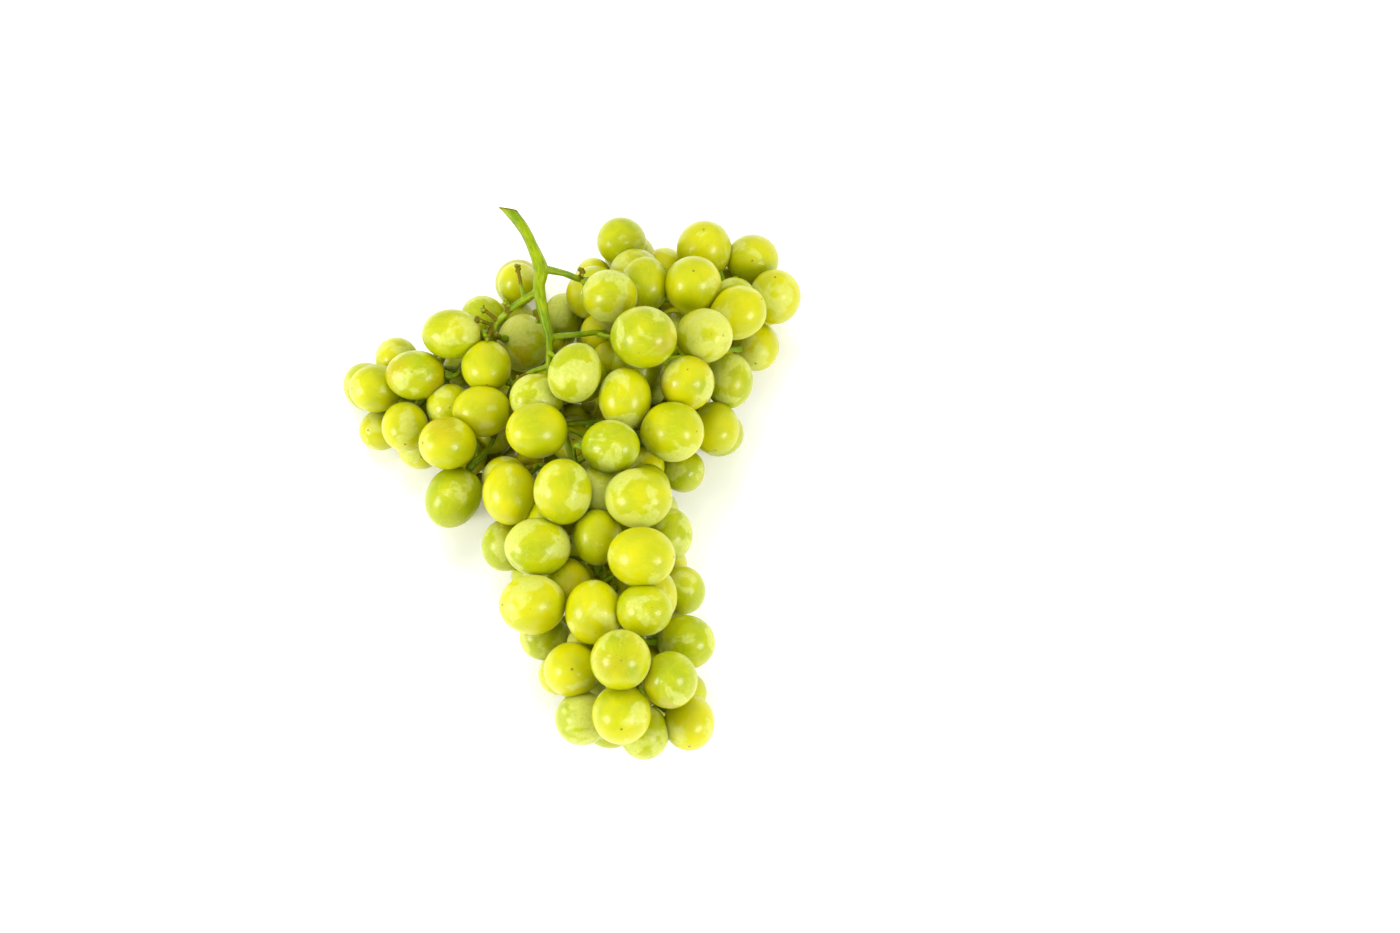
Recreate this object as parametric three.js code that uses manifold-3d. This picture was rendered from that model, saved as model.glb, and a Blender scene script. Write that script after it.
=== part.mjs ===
// A bunch of white table grapes, lying on its side as picked.
// Units are millimetres. +Z is up, +Y runs from the tip of the bunch to its cut stalk,
// and +X runs across it. The origin lies under the middle of the bunch, on the table.
//
// A bunch grows as one branching stalk with a berry at the end of every twig, so it is
// modelled in two steps. First the places are settled: each berry that shows is put where
// it was seen, berries are added in the room beneath, and all of them are let settle until
// they press on each other as real ones do. Then the solids are made: an oval for each
// berry and a tapered tube for each length of stalk, joined into one body for the stalk
// and one for each of the three lobes of the bunch.

import * as THREE from "three";
import { mergeVertices } from "three/addons/utils/BufferGeometryUtils.js";
import Module from "manifold-3d";

const wasm = await Module();
wasm.setup();

// Driving dimensions.
const LAYER_RISE = 15; // how much higher the berries of the next layer lie
const BERRY_STRETCH = 1.14; // length of a berry over its width
const HIDDEN_WIDTH_MIN = 15.5;
const HIDDEN_WIDTH_MAX = 18.5;
const BOND_PRESS = 1.4; // how far the berries that hold a lobe together press into each other
const NEIGHBOUR_CLEARANCE = 0.5; // air between the other neighbours in a lobe
const LOBE_CLEARANCE = 1.4; // air between berries of two lobes
const STALK_CLEARANCE = 1; // air between the stalk and berries that don't hang on it there
const TABLE_PRESS = 0.6; // how far the lowest berries are flattened by the table
const TWIG_WIDTH = 1.5;
const TWIG_GAP = 0.4; // gap between a twig and any berry, its own one too
const MESH_GAP = 0.35; // gap between a branch and a berry that presses on it
const TWIG_NECK = 3; // how far from its berry a twig bends
const TWIG_BEND = THREE.MathUtils.degToRad(70); // the sharpest bend there
const TWIG_REACH = 22; // the longest twig
const HIDDEN_TWIG_REACH = 3; // the longest twig of a hidden berry
const TWIG_FORK = 8; // a twig longer than this can carry another one

// The eye that the places were read with. It looks down on the table at EYE_TILT, and the
// places are measured across and up a plane that faces it and goes through PLANE_MIDDLE.
const EYE_TILT = THREE.MathUtils.degToRad(65);
const EYE_DISTANCE = 778;
const EYE_ACROSS = 41.7; // the eye looks at a point beside the bunch
const EYE_UP = 4.5;
const PLANE_MIDDLE = new THREE.Vector3(0, 0, 25);
const ACROSS = new THREE.Vector3(1, 0, 0);
const UP = new THREE.Vector3(0, Math.sin(EYE_TILT), Math.cos(EYE_TILT));
const TOWARDS_EYE = new THREE.Vector3(0, -Math.cos(EYE_TILT), Math.sin(EYE_TILT));
const EYE = PLANE_MIDDLE.clone()
  .addScaledVector(ACROSS, EYE_ACROSS)
  .addScaledVector(UP, EYE_UP)
  .addScaledVector(TOWARDS_EYE, EYE_DISTANCE);

// The berries that show, one row each: [across, up, width, height, layers, lean].
// Across and up place its middle on the plane, width and height are its size there,
// layers says how many layers of berries lie under it, and lean, where there is one, is
// how many degrees its length is turned from across towards up.
const SEEN_BERRIES = {
  left_shoulder: [
    [-67.5, 30.5, 17.5, 16, 0.9],
    [-59.5, 40.5, 14, 14, 0.5],
    [-52.5, 35, 20, 16.5, 1.4],
    [-40, 48.5, 20, 16.5, 1.6],
    [-45, 49.5, 14.5, 14.5, 0.6],
    [-29.5, 55, 14.5, 14, 0.7],
    [-19, 65, 13.5, 14.5, 0.8],
    [-29.5, 37.5, 16.5, 17.5, 1.7],
    [-17, 45, 17.5, 19.5, 1],
    [-31, 23, 19.5, 17, 1.6],
    [-42, 24.5, 15.5, 15.5, 0.9],
    [-42.5, 12.5, 19, 17.5, 1.7],
    [-56.5, 17.5, 15.5, 16.5, 0.8],
    [-51.5, 11.5, 16, 16.5, 0.6],
    [-65, 16.5, 14, 13.5, 0.2],
    [-40, -5.5, 21.5, 18, 0.8, 60],
    [-35.5, 8.5, 14.5, 14.5, 0.6],
    [-27.5, 14, 14, 14, 0.6],
    [-37.5, 36, 13.5, 13.5, 0.6],
    [-20.5, 54, 14, 14.5, 0.3],
  ],
  right_shoulder: [
    [16.5, 77, 16.5, 16, 1.1],
    [29, 70.5, 14, 14, 0.6],
    [42.5, 77, 18.5, 19.5, 1.2],
    [23, 65.5, 16, 18.5, 1.9],
    [19, 67.5, 17.5, 17.5, 1],
    [39, 65.5, 19, 19.5, 2],
    [59.5, 73, 17.5, 17.5, 0.7],
    [67.5, 61.5, 17, 18, 1],
    [52, 60, 14.5, 14.5, 1],
    [55.5, 55.5, 19.5, 17.5, 1.9, 30],
    [11.5, 61.5, 18.5, 17.5, 2.4],
    [23, 47.5, 22, 20.5, 2.8],
    [43.5, 49, 19, 18, 2.5],
    [37.5, 32.5, 18, 18.5, 2.2],
    [51.5, 33.5, 16, 18.5, 1.1],
    [60.5, 44.5, 15.5, 16.5, 0.4],
    [16.5, 28, 17.5, 20.5, 2.3],
    [32, 15.5, 21.5, 20, 2.2],
    [46, 17, 16, 17.5, 0.9],
    [-1, 55, 13.5, 14.5, 1],
    [5, 60, 13.5, 13.5, 0.6],
    [6, 66.5, 12, 12, 0.7],
    [9, 48.5, 13.5, 13.5, 1.2],
    [12.5, 41, 14, 14, 1.2],
    [26.5, 33.5, 14, 14, 1],
    [35, 3.5, 14.5, 14.5, 0.6],
  ],
  body: [
    [-12.5, 27.5, 17.5, 16, 1.7],
    [-13, 16.5, 20.5, 18.5, 2.5],
    [1, 35.5, 20.5, 17.5, 2.6, 70],
    [12, 10.5, 19.5, 17.5, 2.4],
    [-1, 15.5, 16, 16, 1.4],
    [-22.5, 1.5, 15.5, 14.5, 1],
    [-21.5, -5, 18, 21, 1.8],
    [-3.5, -4.5, 19.5, 22, 2.4],
    [21.5, -6, 22.5, 20, 2.3],
    [24.5, 4.5, 13.5, 13.5, 1.2],
    [-12.5, -22, 22, 19.5, 2],
    [-23.5, -21.5, 15.5, 17.5, 0.8],
    [7, -18.5, 16.5, 18.5, 1.3],
    [22.5, -25.5, 22.5, 20, 2.2],
    [31, -18.5, 15.5, 17.5, 0.9],
    [-14, -41, 22, 20, 1.5],
    [-10.5, -52, 16.5, 15.5, 0.5],
    [6, -44, 19, 21.5, 1.8],
    [23.5, -43.5, 19, 17.5, 2.1],
    [36.5, -36.5, 15, 16, 0.9],
    [37, -53.5, 19.5, 18, 0.9],
    [14.5, -59, 20, 20, 2.2],
    [32.5, -67, 18.5, 19, 1.7],
    [-0.5, -63.5, 18.5, 18.5, 1.2],
    [-5, -65, 14, 14, 0.3],
    [2.5, -79, 18, 18, 0.6],
    [15.5, -79, 19.5, 20, 1.5],
    [22.5, -84.5, 16.5, 17.5, 0.4],
    [38.5, -81, 17, 18.5, 0.6],
    [0, -33.5, 13.5, 13.5, 0.4],
    [37.5, -71, 13.5, 13.5, 0.2],
  ],
};

// The stalk, as points down its length: [across, up, height above the table, thickness].
const MAIN_STEM = [
  [-22.5, 90.5, 59, 4.4],
  [-18, 85, 58, 3.8],
  [-14.5, 78.5, 56, 3.8],
  [-11.5, 70.5, 54, 4.8],
  [-12, 64.5, 52, 4],
  [-11, 58, 50, 3.8],
  [-9.5, 51.5, 47, 3.2],
  [-8.5, 47.5, 45, 2.8],
  [-8.5, 42.5, 42, 2.4],
  [-8.5, 38, 39, 2.4],
  [-7.5, 30, 34, 2.4],
  [-4.5, 18.5, 30, 2.4],
  [0.5, 3.5, 28, 2.2],
  [5.5, -11.5, 27, 2.2],
  [8.5, -26.5, 26, 2],
  [11.5, -41.5, 25, 2],
  [17.5, -58.5, 22, 1.8],
  [24.5, -75, 18, 1.6],
];
const SIDE_BRANCHES = [
  [[-11.5, 70.5, 54, 3], [-4, 69, 51, 2.2], [1.5, 67, 47, 2.2], [5.5, 66.5, 42, 2], [16.5, 63.5, 32, 1.8],
    [30, 60, 27, 1.8], [45.5, 60, 24, 1.6], [56.5, 60, 20, 1.4]],
  [[-12, 63, 51, 2.8], [-19.5, 58.5, 47, 2.2], [-24, 54.5, 43, 2.2], [-28, 50.5, 38, 2], [-32.5, 43.5, 31, 2],
    [-41, 35, 25, 1.8], [-50, 26.5, 20, 1.6], [-58.5, 24, 17, 1.4]],
  [[-8.5, 47.5, 45, 2.2], [1.5, 48.5, 42, 2], [10.5, 48.5, 38, 2], [21.5, 40, 30, 1.8], [38.5, 41.5, 28, 1.6],
    [50, 43.5, 24, 1.4]],
  [[-8.5, 38, 39, 2], [-15.5, 35.5, 36, 1.8], [-20.5, 31.5, 32, 1.8], [-23.5, 23.5, 26, 1.8], [-29, 10, 24, 1.6],
    [-35, 3.5, 20, 1.4]],
  [[-4.5, 18.5, 30, 1.8], [8.5, 20, 29, 1.6], [23.5, 23.5, 27, 1.6], [38.5, 18.5, 22, 1.4]],
  [[0.5, 3.5, 28, 1.8], [-10, 5, 28, 1.6], [-18.5, 3.5, 24, 1.4]],
  [[5.5, -11.5, 27, 1.8], [16.5, -13.5, 28, 1.6], [25, -15, 24, 1.4]],
  [[8.5, -26.5, 26, 1.8], [-1.5, -26.5, 25, 1.6], [-11.5, -31.5, 20, 1.4]],
  [[11.5, -41.5, 25, 1.8], [21.5, -48.5, 24, 1.6], [31.5, -48.5, 20, 1.4]],
  [[17.5, -58.5, 22, 1.6], [8.5, -60, 20, 1.4], [1.5, -66.5, 17, 1.4]],
];

// Twigs that have lost their berry and dried up, as points like those of the branches.
const DRY_TWIGS = [
  [[-17, 60, 48, 1.4], [-18, 65, 50, 1.3], [-19, 70.5, 52, 1.9]],
  [[-12.5, 61, 50, 1.3], [-12.5, 57, 47, 1.2], [-12, 53.5, 44, 1.8]],
  [[-25.5, 53, 41, 1.4], [-30.5, 57, 45, 2]],
  [[-27, 51.5, 39.5, 1.4], [-32.5, 53.5, 43, 1.9]],
  [[-27.5, 51, 39, 1.4], [-29, 47, 41, 1.9]],
  [[-22, 56, 45, 1.3], [-23, 58.5, 47, 1.8]],
  [[-16.5, 35, 35.5, 1.3], [-19, 33.5, 38, 2]],
  [[1.5, 67, 47, 1.4], [2.5, 69.5, 49, 1.9]],
];

// The hidden berries.
const HIDDEN_DEPTH = 3; // at most this many behind one another
const HIDDEN_SPACING = 0.95; // their spacing along the line of sight, over touching
const HIDDEN_ROOM = 0.78; // a hidden berry needs this much of its own room
const SUNK_LIMIT = 0.55; // one whose middle would lie lower than this share of it is left out
const PAIR_REACH = 1.6; // neighbours are berries that lie within this, over touching
const GAP_DEPTH = 11; // how far behind a gap the berry that backs it lies
const COVER_MARGIN = 1.22;
const RIM_POINTS = 8;

// Settling.
const ROUNDS = [40, 40, 40, 40, 300]; // steps in each round, which starts by finding the bonds
const PUSH = 0.3; // share of an overlap that each berry gives way in one step
const SIGHT_PULL = 0.15; // how firmly a berry that shows keeps to where it was seen
const HIDDEN_PULL = 0.05;
const HOME_PULL = 0.01;
const WEIGHT = 0.04; // how far a hidden berry sinks in one step

let drawState = 7;

/** Return the next number of a repeatable random series, from 0 to 1. */
function draw() {
  drawState = (1664525 * drawState + 1013904223) % 4294967296;
  return drawState / 4294967296;
}

/** Return the point of the reading plane that lies so far across and up. */
function planePoint(across, up) {
  return PLANE_MIDDLE.clone().addScaledVector(ACROSS, across).addScaledVector(UP, up);
}

/** Return the point at the given height that the eye sees there. */
function pointSeen(across, up, height) {
  const sight = planePoint(across, up).sub(EYE);
  return EYE.clone().addScaledVector(sight, (height - EYE.z) / sight.z);
}

/** Return the points along the stalk that berries keep clear of. */
function stalkBeads() {
  const beads = [];
  for (const line of [MAIN_STEM, ...SIDE_BRANCHES]) {
    for (let i = 0; i + 1 < line.length; i += 1) {
      const start = pointSeen(...line[i]);
      const end = pointSeen(...line[i + 1]);
      const count = Math.max(1, Math.round(start.distanceTo(end) / 2.5));
      for (let k = 0; k < count; k += 1) {
        const share = k / count;
        const radius = THREE.MathUtils.lerp(line[i][3], line[i + 1][3], share) / 2;
        beads.push({ centre: start.clone().lerp(end, share), radius });
      }
    }
  }
  return beads;
}

/** Return the bead that lies nearest to a point. */
function nearestBead(point, beads) {
  let best = beads[0];
  for (const bead of beads) {
    if (bead.centre.distanceTo(point) < best.centre.distanceTo(point)) {
      best = bead;
    }
  }
  return best;
}

/** Return the berry that one row describes. */
function berryFromRow([across, up, width, height, layers, lean], beads) {
  const size = Math.min(width, height);
  const centre = pointSeen(across, up, size / 2 - TABLE_PRESS + layers * LAYER_RISE);
  const nearness = EYE.distanceTo(centre) / EYE.distanceTo(planePoint(across, up));
  // All berries are ovals of about one shape, so a berry that looks round points at the eye.
  const roundness = Math.max(width, height) / size;
  const stretch = Math.max(BERRY_STRETCH, roundness);
  const sine = Math.sqrt((roundness ** 2 - 1) / (stretch ** 2 - 1));
  const turn = THREE.MathUtils.degToRad(lean ?? (width >= height ? 0 : 90));
  const flat = ACROSS.clone().multiplyScalar(Math.cos(turn)).addScaledVector(UP, Math.sin(turn));
  const outwards = centre.clone().sub(nearestBead(centre, beads).centre);
  if (flat.dot(outwards) < 0) {
    flat.negate();
  }
  const sight = centre.clone().sub(EYE).normalize();
  const axis = flat.multiplyScalar(sine).addScaledVector(sight, -Math.sqrt(1 - sine ** 2));
  const short = (size * nearness) / 2;
  return { centre, axis, short, long: short * stretch, sight, home: centre.clone(), seen: true };
}

/** Tell whether a berry's whole outline lies behind berries that show, or just beside one. */
function isCovered(centre, short, shown) {
  for (let k = 0; k < RIM_POINTS; k += 1) {
    const turn = (2 * Math.PI * k) / RIM_POINTS;
    const rim = centre.clone()
      .addScaledVector(ACROSS, short * Math.cos(turn))
      .addScaledVector(UP, short * Math.sin(turn));
    const sight = new THREE.Ray(EYE, rim.clone().sub(EYE).normalize());
    if (!shown.some((berry) => sight.distanceToPoint(berry.centre) < berry.short * COVER_MARGIN)) {
      return false;
    }
  }
  return true;
}

/** Return the berries that hide behind a point, as far as there is room. */
function berriesBehind(point, firstDepth, berries, shown, beads) {
  const sight = point.clone().sub(EYE).normalize();
  const added = [];
  for (let k = 0; k < HIDDEN_DEPTH; k += 1) {
    const short = THREE.MathUtils.lerp(HIDDEN_WIDTH_MIN, HIDDEN_WIDTH_MAX, draw()) / 2;
    const centre = point.clone().addScaledVector(sight, firstDepth + 2 * short * HIDDEN_SPACING * k);
    if (centre.z < short * SUNK_LIMIT) {
      continue;
    }
    centre.z = Math.max(centre.z, short - TABLE_PRESS);
    const crowded = [...berries, ...added].some(
      (other) => other.centre.distanceTo(centre) < (short + other.short) * HIDDEN_ROOM,
    );
    if (!crowded && isCovered(centre, short, shown)) {
      const axis = centre.clone().sub(nearestBead(centre, beads).centre).normalize();
      const long = short * BERRY_STRETCH;
      added.push({ centre, axis, short, long, sight, home: centre.clone(), seen: false });
    }
  }
  return added;
}

/** Return how far a berry's skin lies from its middle in one direction. */
function reach(berry, direction) {
  const along = berry.axis.dot(direction) ** 2;
  return 1 / Math.sqrt(along / berry.long ** 2 + (1 - along) / berry.short ** 2);
}

/** Return the gap between the skins of two berries. */
function gapBetween(first, second) {
  const line = second.centre.clone().sub(first.centre);
  const distance = line.length();
  line.divideScalar(distance);
  return distance - reach(first, line) - reach(second, line);
}

/** Return the pairs of berries whose contacts hold each lobe together: the shortest links. */
function findBonds(berries) {
  const bonds = new Set();
  for (const lobe of Object.keys(SEEN_BERRIES)) {
    const waiting = berries.map((berry, index) => index).filter((index) => berries[index].lobe === lobe);
    const joined = [waiting.shift()];
    while (waiting.length > 0) {
      let best = { gap: Infinity };
      for (const inside of joined) {
        for (const outside of waiting) {
          const gap = gapBetween(berries[inside], berries[outside]);
          if (gap < best.gap) {
            best = { gap, inside, outside };
          }
        }
      }
      joined.push(best.outside);
      waiting.splice(waiting.indexOf(best.outside), 1);
      bonds.add(Math.min(best.inside, best.outside) * 1000 + Math.max(best.inside, best.outside));
    }
  }
  return bonds;
}

/** Move all berries one step towards rest. */
function settleOnce(berries, beads, bonds) {
  const moves = berries.map(() => new THREE.Vector3());
  for (let i = 0; i < berries.length; i += 1) {
    for (let j = i + 1; j < berries.length; j += 1) {
      const line = berries[j].centre.clone().sub(berries[i].centre);
      const distance = line.length();
      const bonded = bonds.has(i * 1000 + j);
      if (distance > 30 && !bonded) {
        continue;
      }
      line.divideScalar(distance);
      const sameLobe = berries[i].lobe === berries[j].lobe;
      const contact = bonded ? -BOND_PRESS : sameLobe ? NEIGHBOUR_CLEARANCE : LOBE_CLEARANCE;
      const overlap = reach(berries[i], line) + reach(berries[j], line) + contact - distance;
      if (overlap > 0 || bonded) {
        moves[i].addScaledVector(line, -PUSH * overlap);
        moves[j].addScaledVector(line, PUSH * overlap);
      }
    }
    for (const bead of beads) {
      const line = berries[i].centre.clone().sub(bead.centre);
      const distance = line.length();
      line.divideScalar(distance);
      const overlap = reach(berries[i], line) + bead.radius + STALK_CLEARANCE - distance;
      if (overlap > 0) {
        moves[i].addScaledVector(line, PUSH * overlap);
      }
    }
  }
  berries.forEach((berry, index) => {
    berry.centre.add(moves[index]);
    const fromEye = berry.centre.clone().sub(EYE);
    const onSight = EYE.clone().addScaledVector(berry.sight, fromEye.dot(berry.sight));
    berry.centre.lerp(onSight, berry.seen ? SIGHT_PULL : HIDDEN_PULL);
    berry.centre.lerp(berry.home, HOME_PULL);
    if (!berry.seen) {
      berry.centre.z -= WEIGHT;
    }
    berry.centre.z = Math.max(berry.centre.z, reach(berry, new THREE.Vector3(0, 0, 1)) - TABLE_PRESS);
  });
}

/** Return all berries where they come to rest. */
function placeBerries(beads) {
  const berries = [];
  for (const [lobe, rows] of Object.entries(SEEN_BERRIES)) {
    for (const row of rows) {
      berries.push({ lobe, ...berryFromRow(row, beads) });
    }
  }
  const shown = berries.slice();
  // First the gaps between neighbours are backed, then the room under each berry is filled.
  for (const [index, first] of shown.entries()) {
    for (const second of shown.slice(index + 1)) {
      if (first.centre.distanceTo(second.centre) < (first.short + second.short) * PAIR_REACH) {
        const middle = first.centre.clone().lerp(second.centre, 0.5);
        for (const berry of berriesBehind(middle, GAP_DEPTH, berries, shown, beads)) {
          berries.push({ lobe: first.lobe, ...berry });
        }
      }
    }
  }
  for (const top of shown) {
    for (const berry of berriesBehind(top.centre, 2 * top.short * HIDDEN_SPACING, berries, shown, beads)) {
      berries.push({ lobe: top.lobe, ...berry });
    }
  }
  for (const steps of ROUNDS) {
    const bonds = findBonds(berries);
    for (let step = 0; step < steps; step += 1) {
      settleOnce(berries, beads, bonds);
    }
  }
  return berries;
}

// Solids.
const BERRY_FACET_GAIN = 1.03; // a faceted oval is drawn larger by this to hold about its volume
const HIDDEN_FACET_GAIN = 1.06;
const STEM_SIDES = 6;
const BRANCH_SIDES = 4;
const TWIG_SIDES = 3;
const SLIVER = 0.05; // facets of the stalk finer than this are joined to their neighbours

/** Return a three.js geometry as a solid that can be joined and cut. */
function solidOf(geometry) {
  const bare = geometry.index ? geometry.toNonIndexed() : geometry.clone();
  bare.deleteAttribute("normal");
  bare.deleteAttribute("uv");
  const merged = mergeVertices(bare, 1e-4);
  return new wasm.Manifold(
    new wasm.Mesh({
      numProp: 3,
      vertProperties: new Float32Array(merged.attributes.position.array),
      triVerts: new Uint32Array(merged.index.array),
    }),
  );
}

/** Return the three.js geometry of a solid. */
function geometryOf(solid) {
  const mesh = solid.getMesh();
  const geometry = new THREE.BufferGeometry();
  geometry.setAttribute("position", new THREE.BufferAttribute(new Float32Array(mesh.vertProperties), 3));
  geometry.setIndex(new THREE.BufferAttribute(new Uint32Array(mesh.triVerts), 1));
  geometry.computeVertexNormals();
  return geometry;
}

/** Return all solids of a list joined into one. */
function joined(solids) {
  return wasm.Manifold.union(solids);
}

/** Return one berry as a faceted oval, grown by a margin all round. */
function berrySolid(berry, margin = 0) {
  const geometry = berry.seen ? new THREE.IcosahedronGeometry(1, 1) : new THREE.SphereGeometry(1, 7, 5);
  const gain = berry.seen ? BERRY_FACET_GAIN : HIDDEN_FACET_GAIN;
  const short = berry.short * gain + margin;
  const long = berry.long * gain + margin;
  geometry.rotateX(Math.PI / 2);
  geometry.scale(short, short, long);
  geometry.applyQuaternion(new THREE.Quaternion().setFromUnitVectors(new THREE.Vector3(0, 0, 1), berry.axis));
  geometry.translate(berry.centre.x, berry.centre.y, berry.centre.z);
  return solidOf(geometry);
}

/** Return a round rod along a curve, whose thickness changes from point to point. */
function taperedRod(points, radii, sides, steps) {
  const curve = new THREE.CatmullRomCurve3(points, false, "centripetal");
  const frames = curve.computeFrenetFrames(steps);
  const geometry = new THREE.CylinderGeometry(1, 1, 1, sides, steps);
  const position = geometry.attributes.position;
  for (let i = 0; i < position.count; i += 1) {
    const ring = Math.round((0.5 - position.getY(i)) * steps);
    const share = ring / steps;
    const place = share * (radii.length - 1);
    const before = Math.min(Math.floor(place), radii.length - 2);
    const radius = THREE.MathUtils.lerp(radii[before], radii[before + 1], place - before);
    const point = curve.getPoint(share)
      .addScaledVector(frames.normals[ring], position.getX(i) * radius)
      .addScaledVector(frames.binormals[ring], position.getZ(i) * radius);
    position.setXYZ(i, point.x, point.y, point.z);
  }
  return solidOf(geometry);
}

/** Return one length of stalk from its rows. */
function branchSolid(rows, sides) {
  const points = rows.map((row) => pointSeen(...row));
  const radii = rows.map((row) => row[3] / 2);
  return taperedRod(points, radii, sides, rows.length - 1);
}

/** Return one twig, which widens where it meets its berry. */
function twigSolid(path) {
  const radii = path.map((point, index) => (index + 1 === path.length ? TWIG_WIDTH * 0.6 : TWIG_WIDTH / 2));
  return taperedRod(path, radii, TWIG_SIDES, path.length - 1);
}

/** Tell whether a straight twig from start to end stays clear of all these berries. */
function isClear(start, end, berries) {
  const way = new THREE.Line3(start, end);
  return berries.every((berry) => {
    const line = way.closestPointToPoint(berry.centre, true, new THREE.Vector3()).sub(berry.centre);
    const distance = line.length();
    line.divideScalar(distance);
    return distance > reach(berry, line) * HIDDEN_FACET_GAIN + TWIG_WIDTH / 2 + TWIG_GAP;
  });
}

/** Return the point just off a berry's skin on one side of it. */
function offSkin(berry, side, gap) {
  return berry.centre.clone().addScaledVector(side, reach(berry, side) * HIDDEN_FACET_GAIN + gap);
}

/**
 * Return the bends of the twig that carries a berry, from its root on the stalk, or null.
 * A twig meets its berry at the end that points away from the scar where there is a
 * clear way to it, and comes straight from the stalk where there is none.
 */
function twigPath(berry, berries, roots) {
  const others = berries.filter((other) => other !== berry);
  const near = roots.filter((root) => root.distanceTo(berry.centre) < TWIG_REACH + berry.long);
  near.sort((a, b) => a.distanceTo(berry.centre) - b.distanceTo(berry.centre));
  const pole = berry.axis.clone().negate();
  const neck = offSkin(berry, pole, TWIG_NECK);
  const end = offSkin(berry, pole, TWIG_GAP);
  if (isClear(neck, end, others)) {
    for (const root of near) {
      const comesStraight = root.clone().sub(neck).angleTo(pole) < TWIG_BEND;
      if (comesStraight && root.z > TWIG_WIDTH && neck.z > TWIG_WIDTH && isClear(root, neck, berries)) {
        return [root, neck, end];
      }
    }
  }
  for (const root of near) {
    const side = root.clone().sub(berry.centre).normalize();
    const meeting = offSkin(berry, side, TWIG_GAP);
    if (meeting.distanceTo(root) > TWIG_WIDTH && isClear(root, meeting, others)) {
      return [root, meeting];
    }
  }
  return null;
}

/** Return the paths of all twigs that have a clear way, the ones nearest to the stalk first. */
function twigPaths(berries, beads) {
  const roots = beads.map((bead) => bead.centre);
  const stalkDistance = (berry) => nearestBead(berry.centre, beads).centre.distanceTo(berry.centre);
  const paths = [];
  for (const berry of berries.slice().sort((a, b) => stalkDistance(a) - stalkDistance(b))) {
    const path = twigPath(berry, berries, roots);
    if (path && (berry.seen || path[0].distanceTo(path[1]) < HIDDEN_TWIG_REACH)) {
      paths.push(path);
      roots.splice(roots.indexOf(path[0]), 1);
      if (path[0].distanceTo(path[1]) > TWIG_FORK) {
        roots.push(path[0].clone().lerp(path[1], 0.6));
      }
    }
  }
  return paths;
}

const beads = stalkBeads();
const berries = placeBerries(beads);

// The lowest berries are flattened where they lie on the table.
const tableBlock = new THREE.BoxGeometry(400, 400, 20);
tableBlock.translate(0, 0, -10);
const table = solidOf(tableBlock);

const lobes = {};
for (const lobe of Object.keys(SEEN_BERRIES)) {
  const solids = berries.filter((berry) => berry.lobe === lobe).map((berry) => berrySolid(berry));
  lobes[lobe] = joined(solids).subtract(table);
}

const twigs = twigPaths(berries, beads);
const keepClear = joined(berries.map((berry) => berrySolid(berry, MESH_GAP)));
const stalkBodies = joined([
  branchSolid(MAIN_STEM, STEM_SIDES),
  ...SIDE_BRANCHES.map((rows) => branchSolid(rows, BRANCH_SIDES)),
  ...DRY_TWIGS.map((rows) => branchSolid(rows, TWIG_SIDES)),
  ...twigs.map(twigSolid),
]).subtract(keepClear).decompose();
// A scrap that the berries cut off is dropped.
const stalk = stalkBodies.sort((a, b) => b.volume() - a.volume())[0].simplify(SLIVER);

const skin = new THREE.MeshStandardMaterial({ color: "#cdd312", roughness: 0.3, metalness: 0 });
const bark = new THREE.MeshStandardMaterial({ color: "#9bb51c", roughness: 0.6, metalness: 0 });

/** Return the box that holds every berry and the stalk. */
function boxOf(berries, beads) {
  const box = new THREE.Box3();
  for (const berry of berries) {
    // An oval reaches this far along each of X, Y and Z.
    const half = new THREE.Vector3(...berry.axis.toArray().map(
      (share) => Math.sqrt(berry.short ** 2 * (1 - share ** 2) + berry.long ** 2 * share ** 2),
    ));
    box.expandByPoint(berry.centre.clone().add(half));
    box.expandByPoint(berry.centre.clone().sub(half));
  }
  for (const bead of beads) {
    box.expandByPoint(bead.centre.clone().addScalar(bead.radius));
    box.expandByPoint(bead.centre.clone().addScalar(-bead.radius));
  }
  return box;
}

// The middle of the bunch stands over the origin, and the table is at height 0.
const bunch = new THREE.Group();
const middle = boxOf(berries, beads).getCenter(new THREE.Vector3());
bunch.position.set(-middle.x, -middle.y, 0);

/** Add one solid to the bunch under its name. */
function addPiece(name, solid, material) {
  const mesh = new THREE.Mesh(geometryOf(solid), material);
  mesh.name = name;
  bunch.add(mesh);
}

addPiece("stalk", stalk, bark);
for (const [lobe, solid] of Object.entries(lobes)) {
  addPiece(`berries_${lobe}`, solid, skin);
}

export default bunch;
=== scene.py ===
# %% [markdown]
# # A bunch of white grapes
# This script dresses a plain model of a bunch of grapes. The plain model holds the sizes, and
# everything here is made to lie exactly where its solids lie. We work in three steps: find
# where every berry hangs, model the berries and the stalk, and give both their finish.

# %% Load the plain model
import math

import bmesh
import bpy
import numpy as np
from mathutils import Matrix, Vector
from mathutils.kdtree import KDTree


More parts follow.
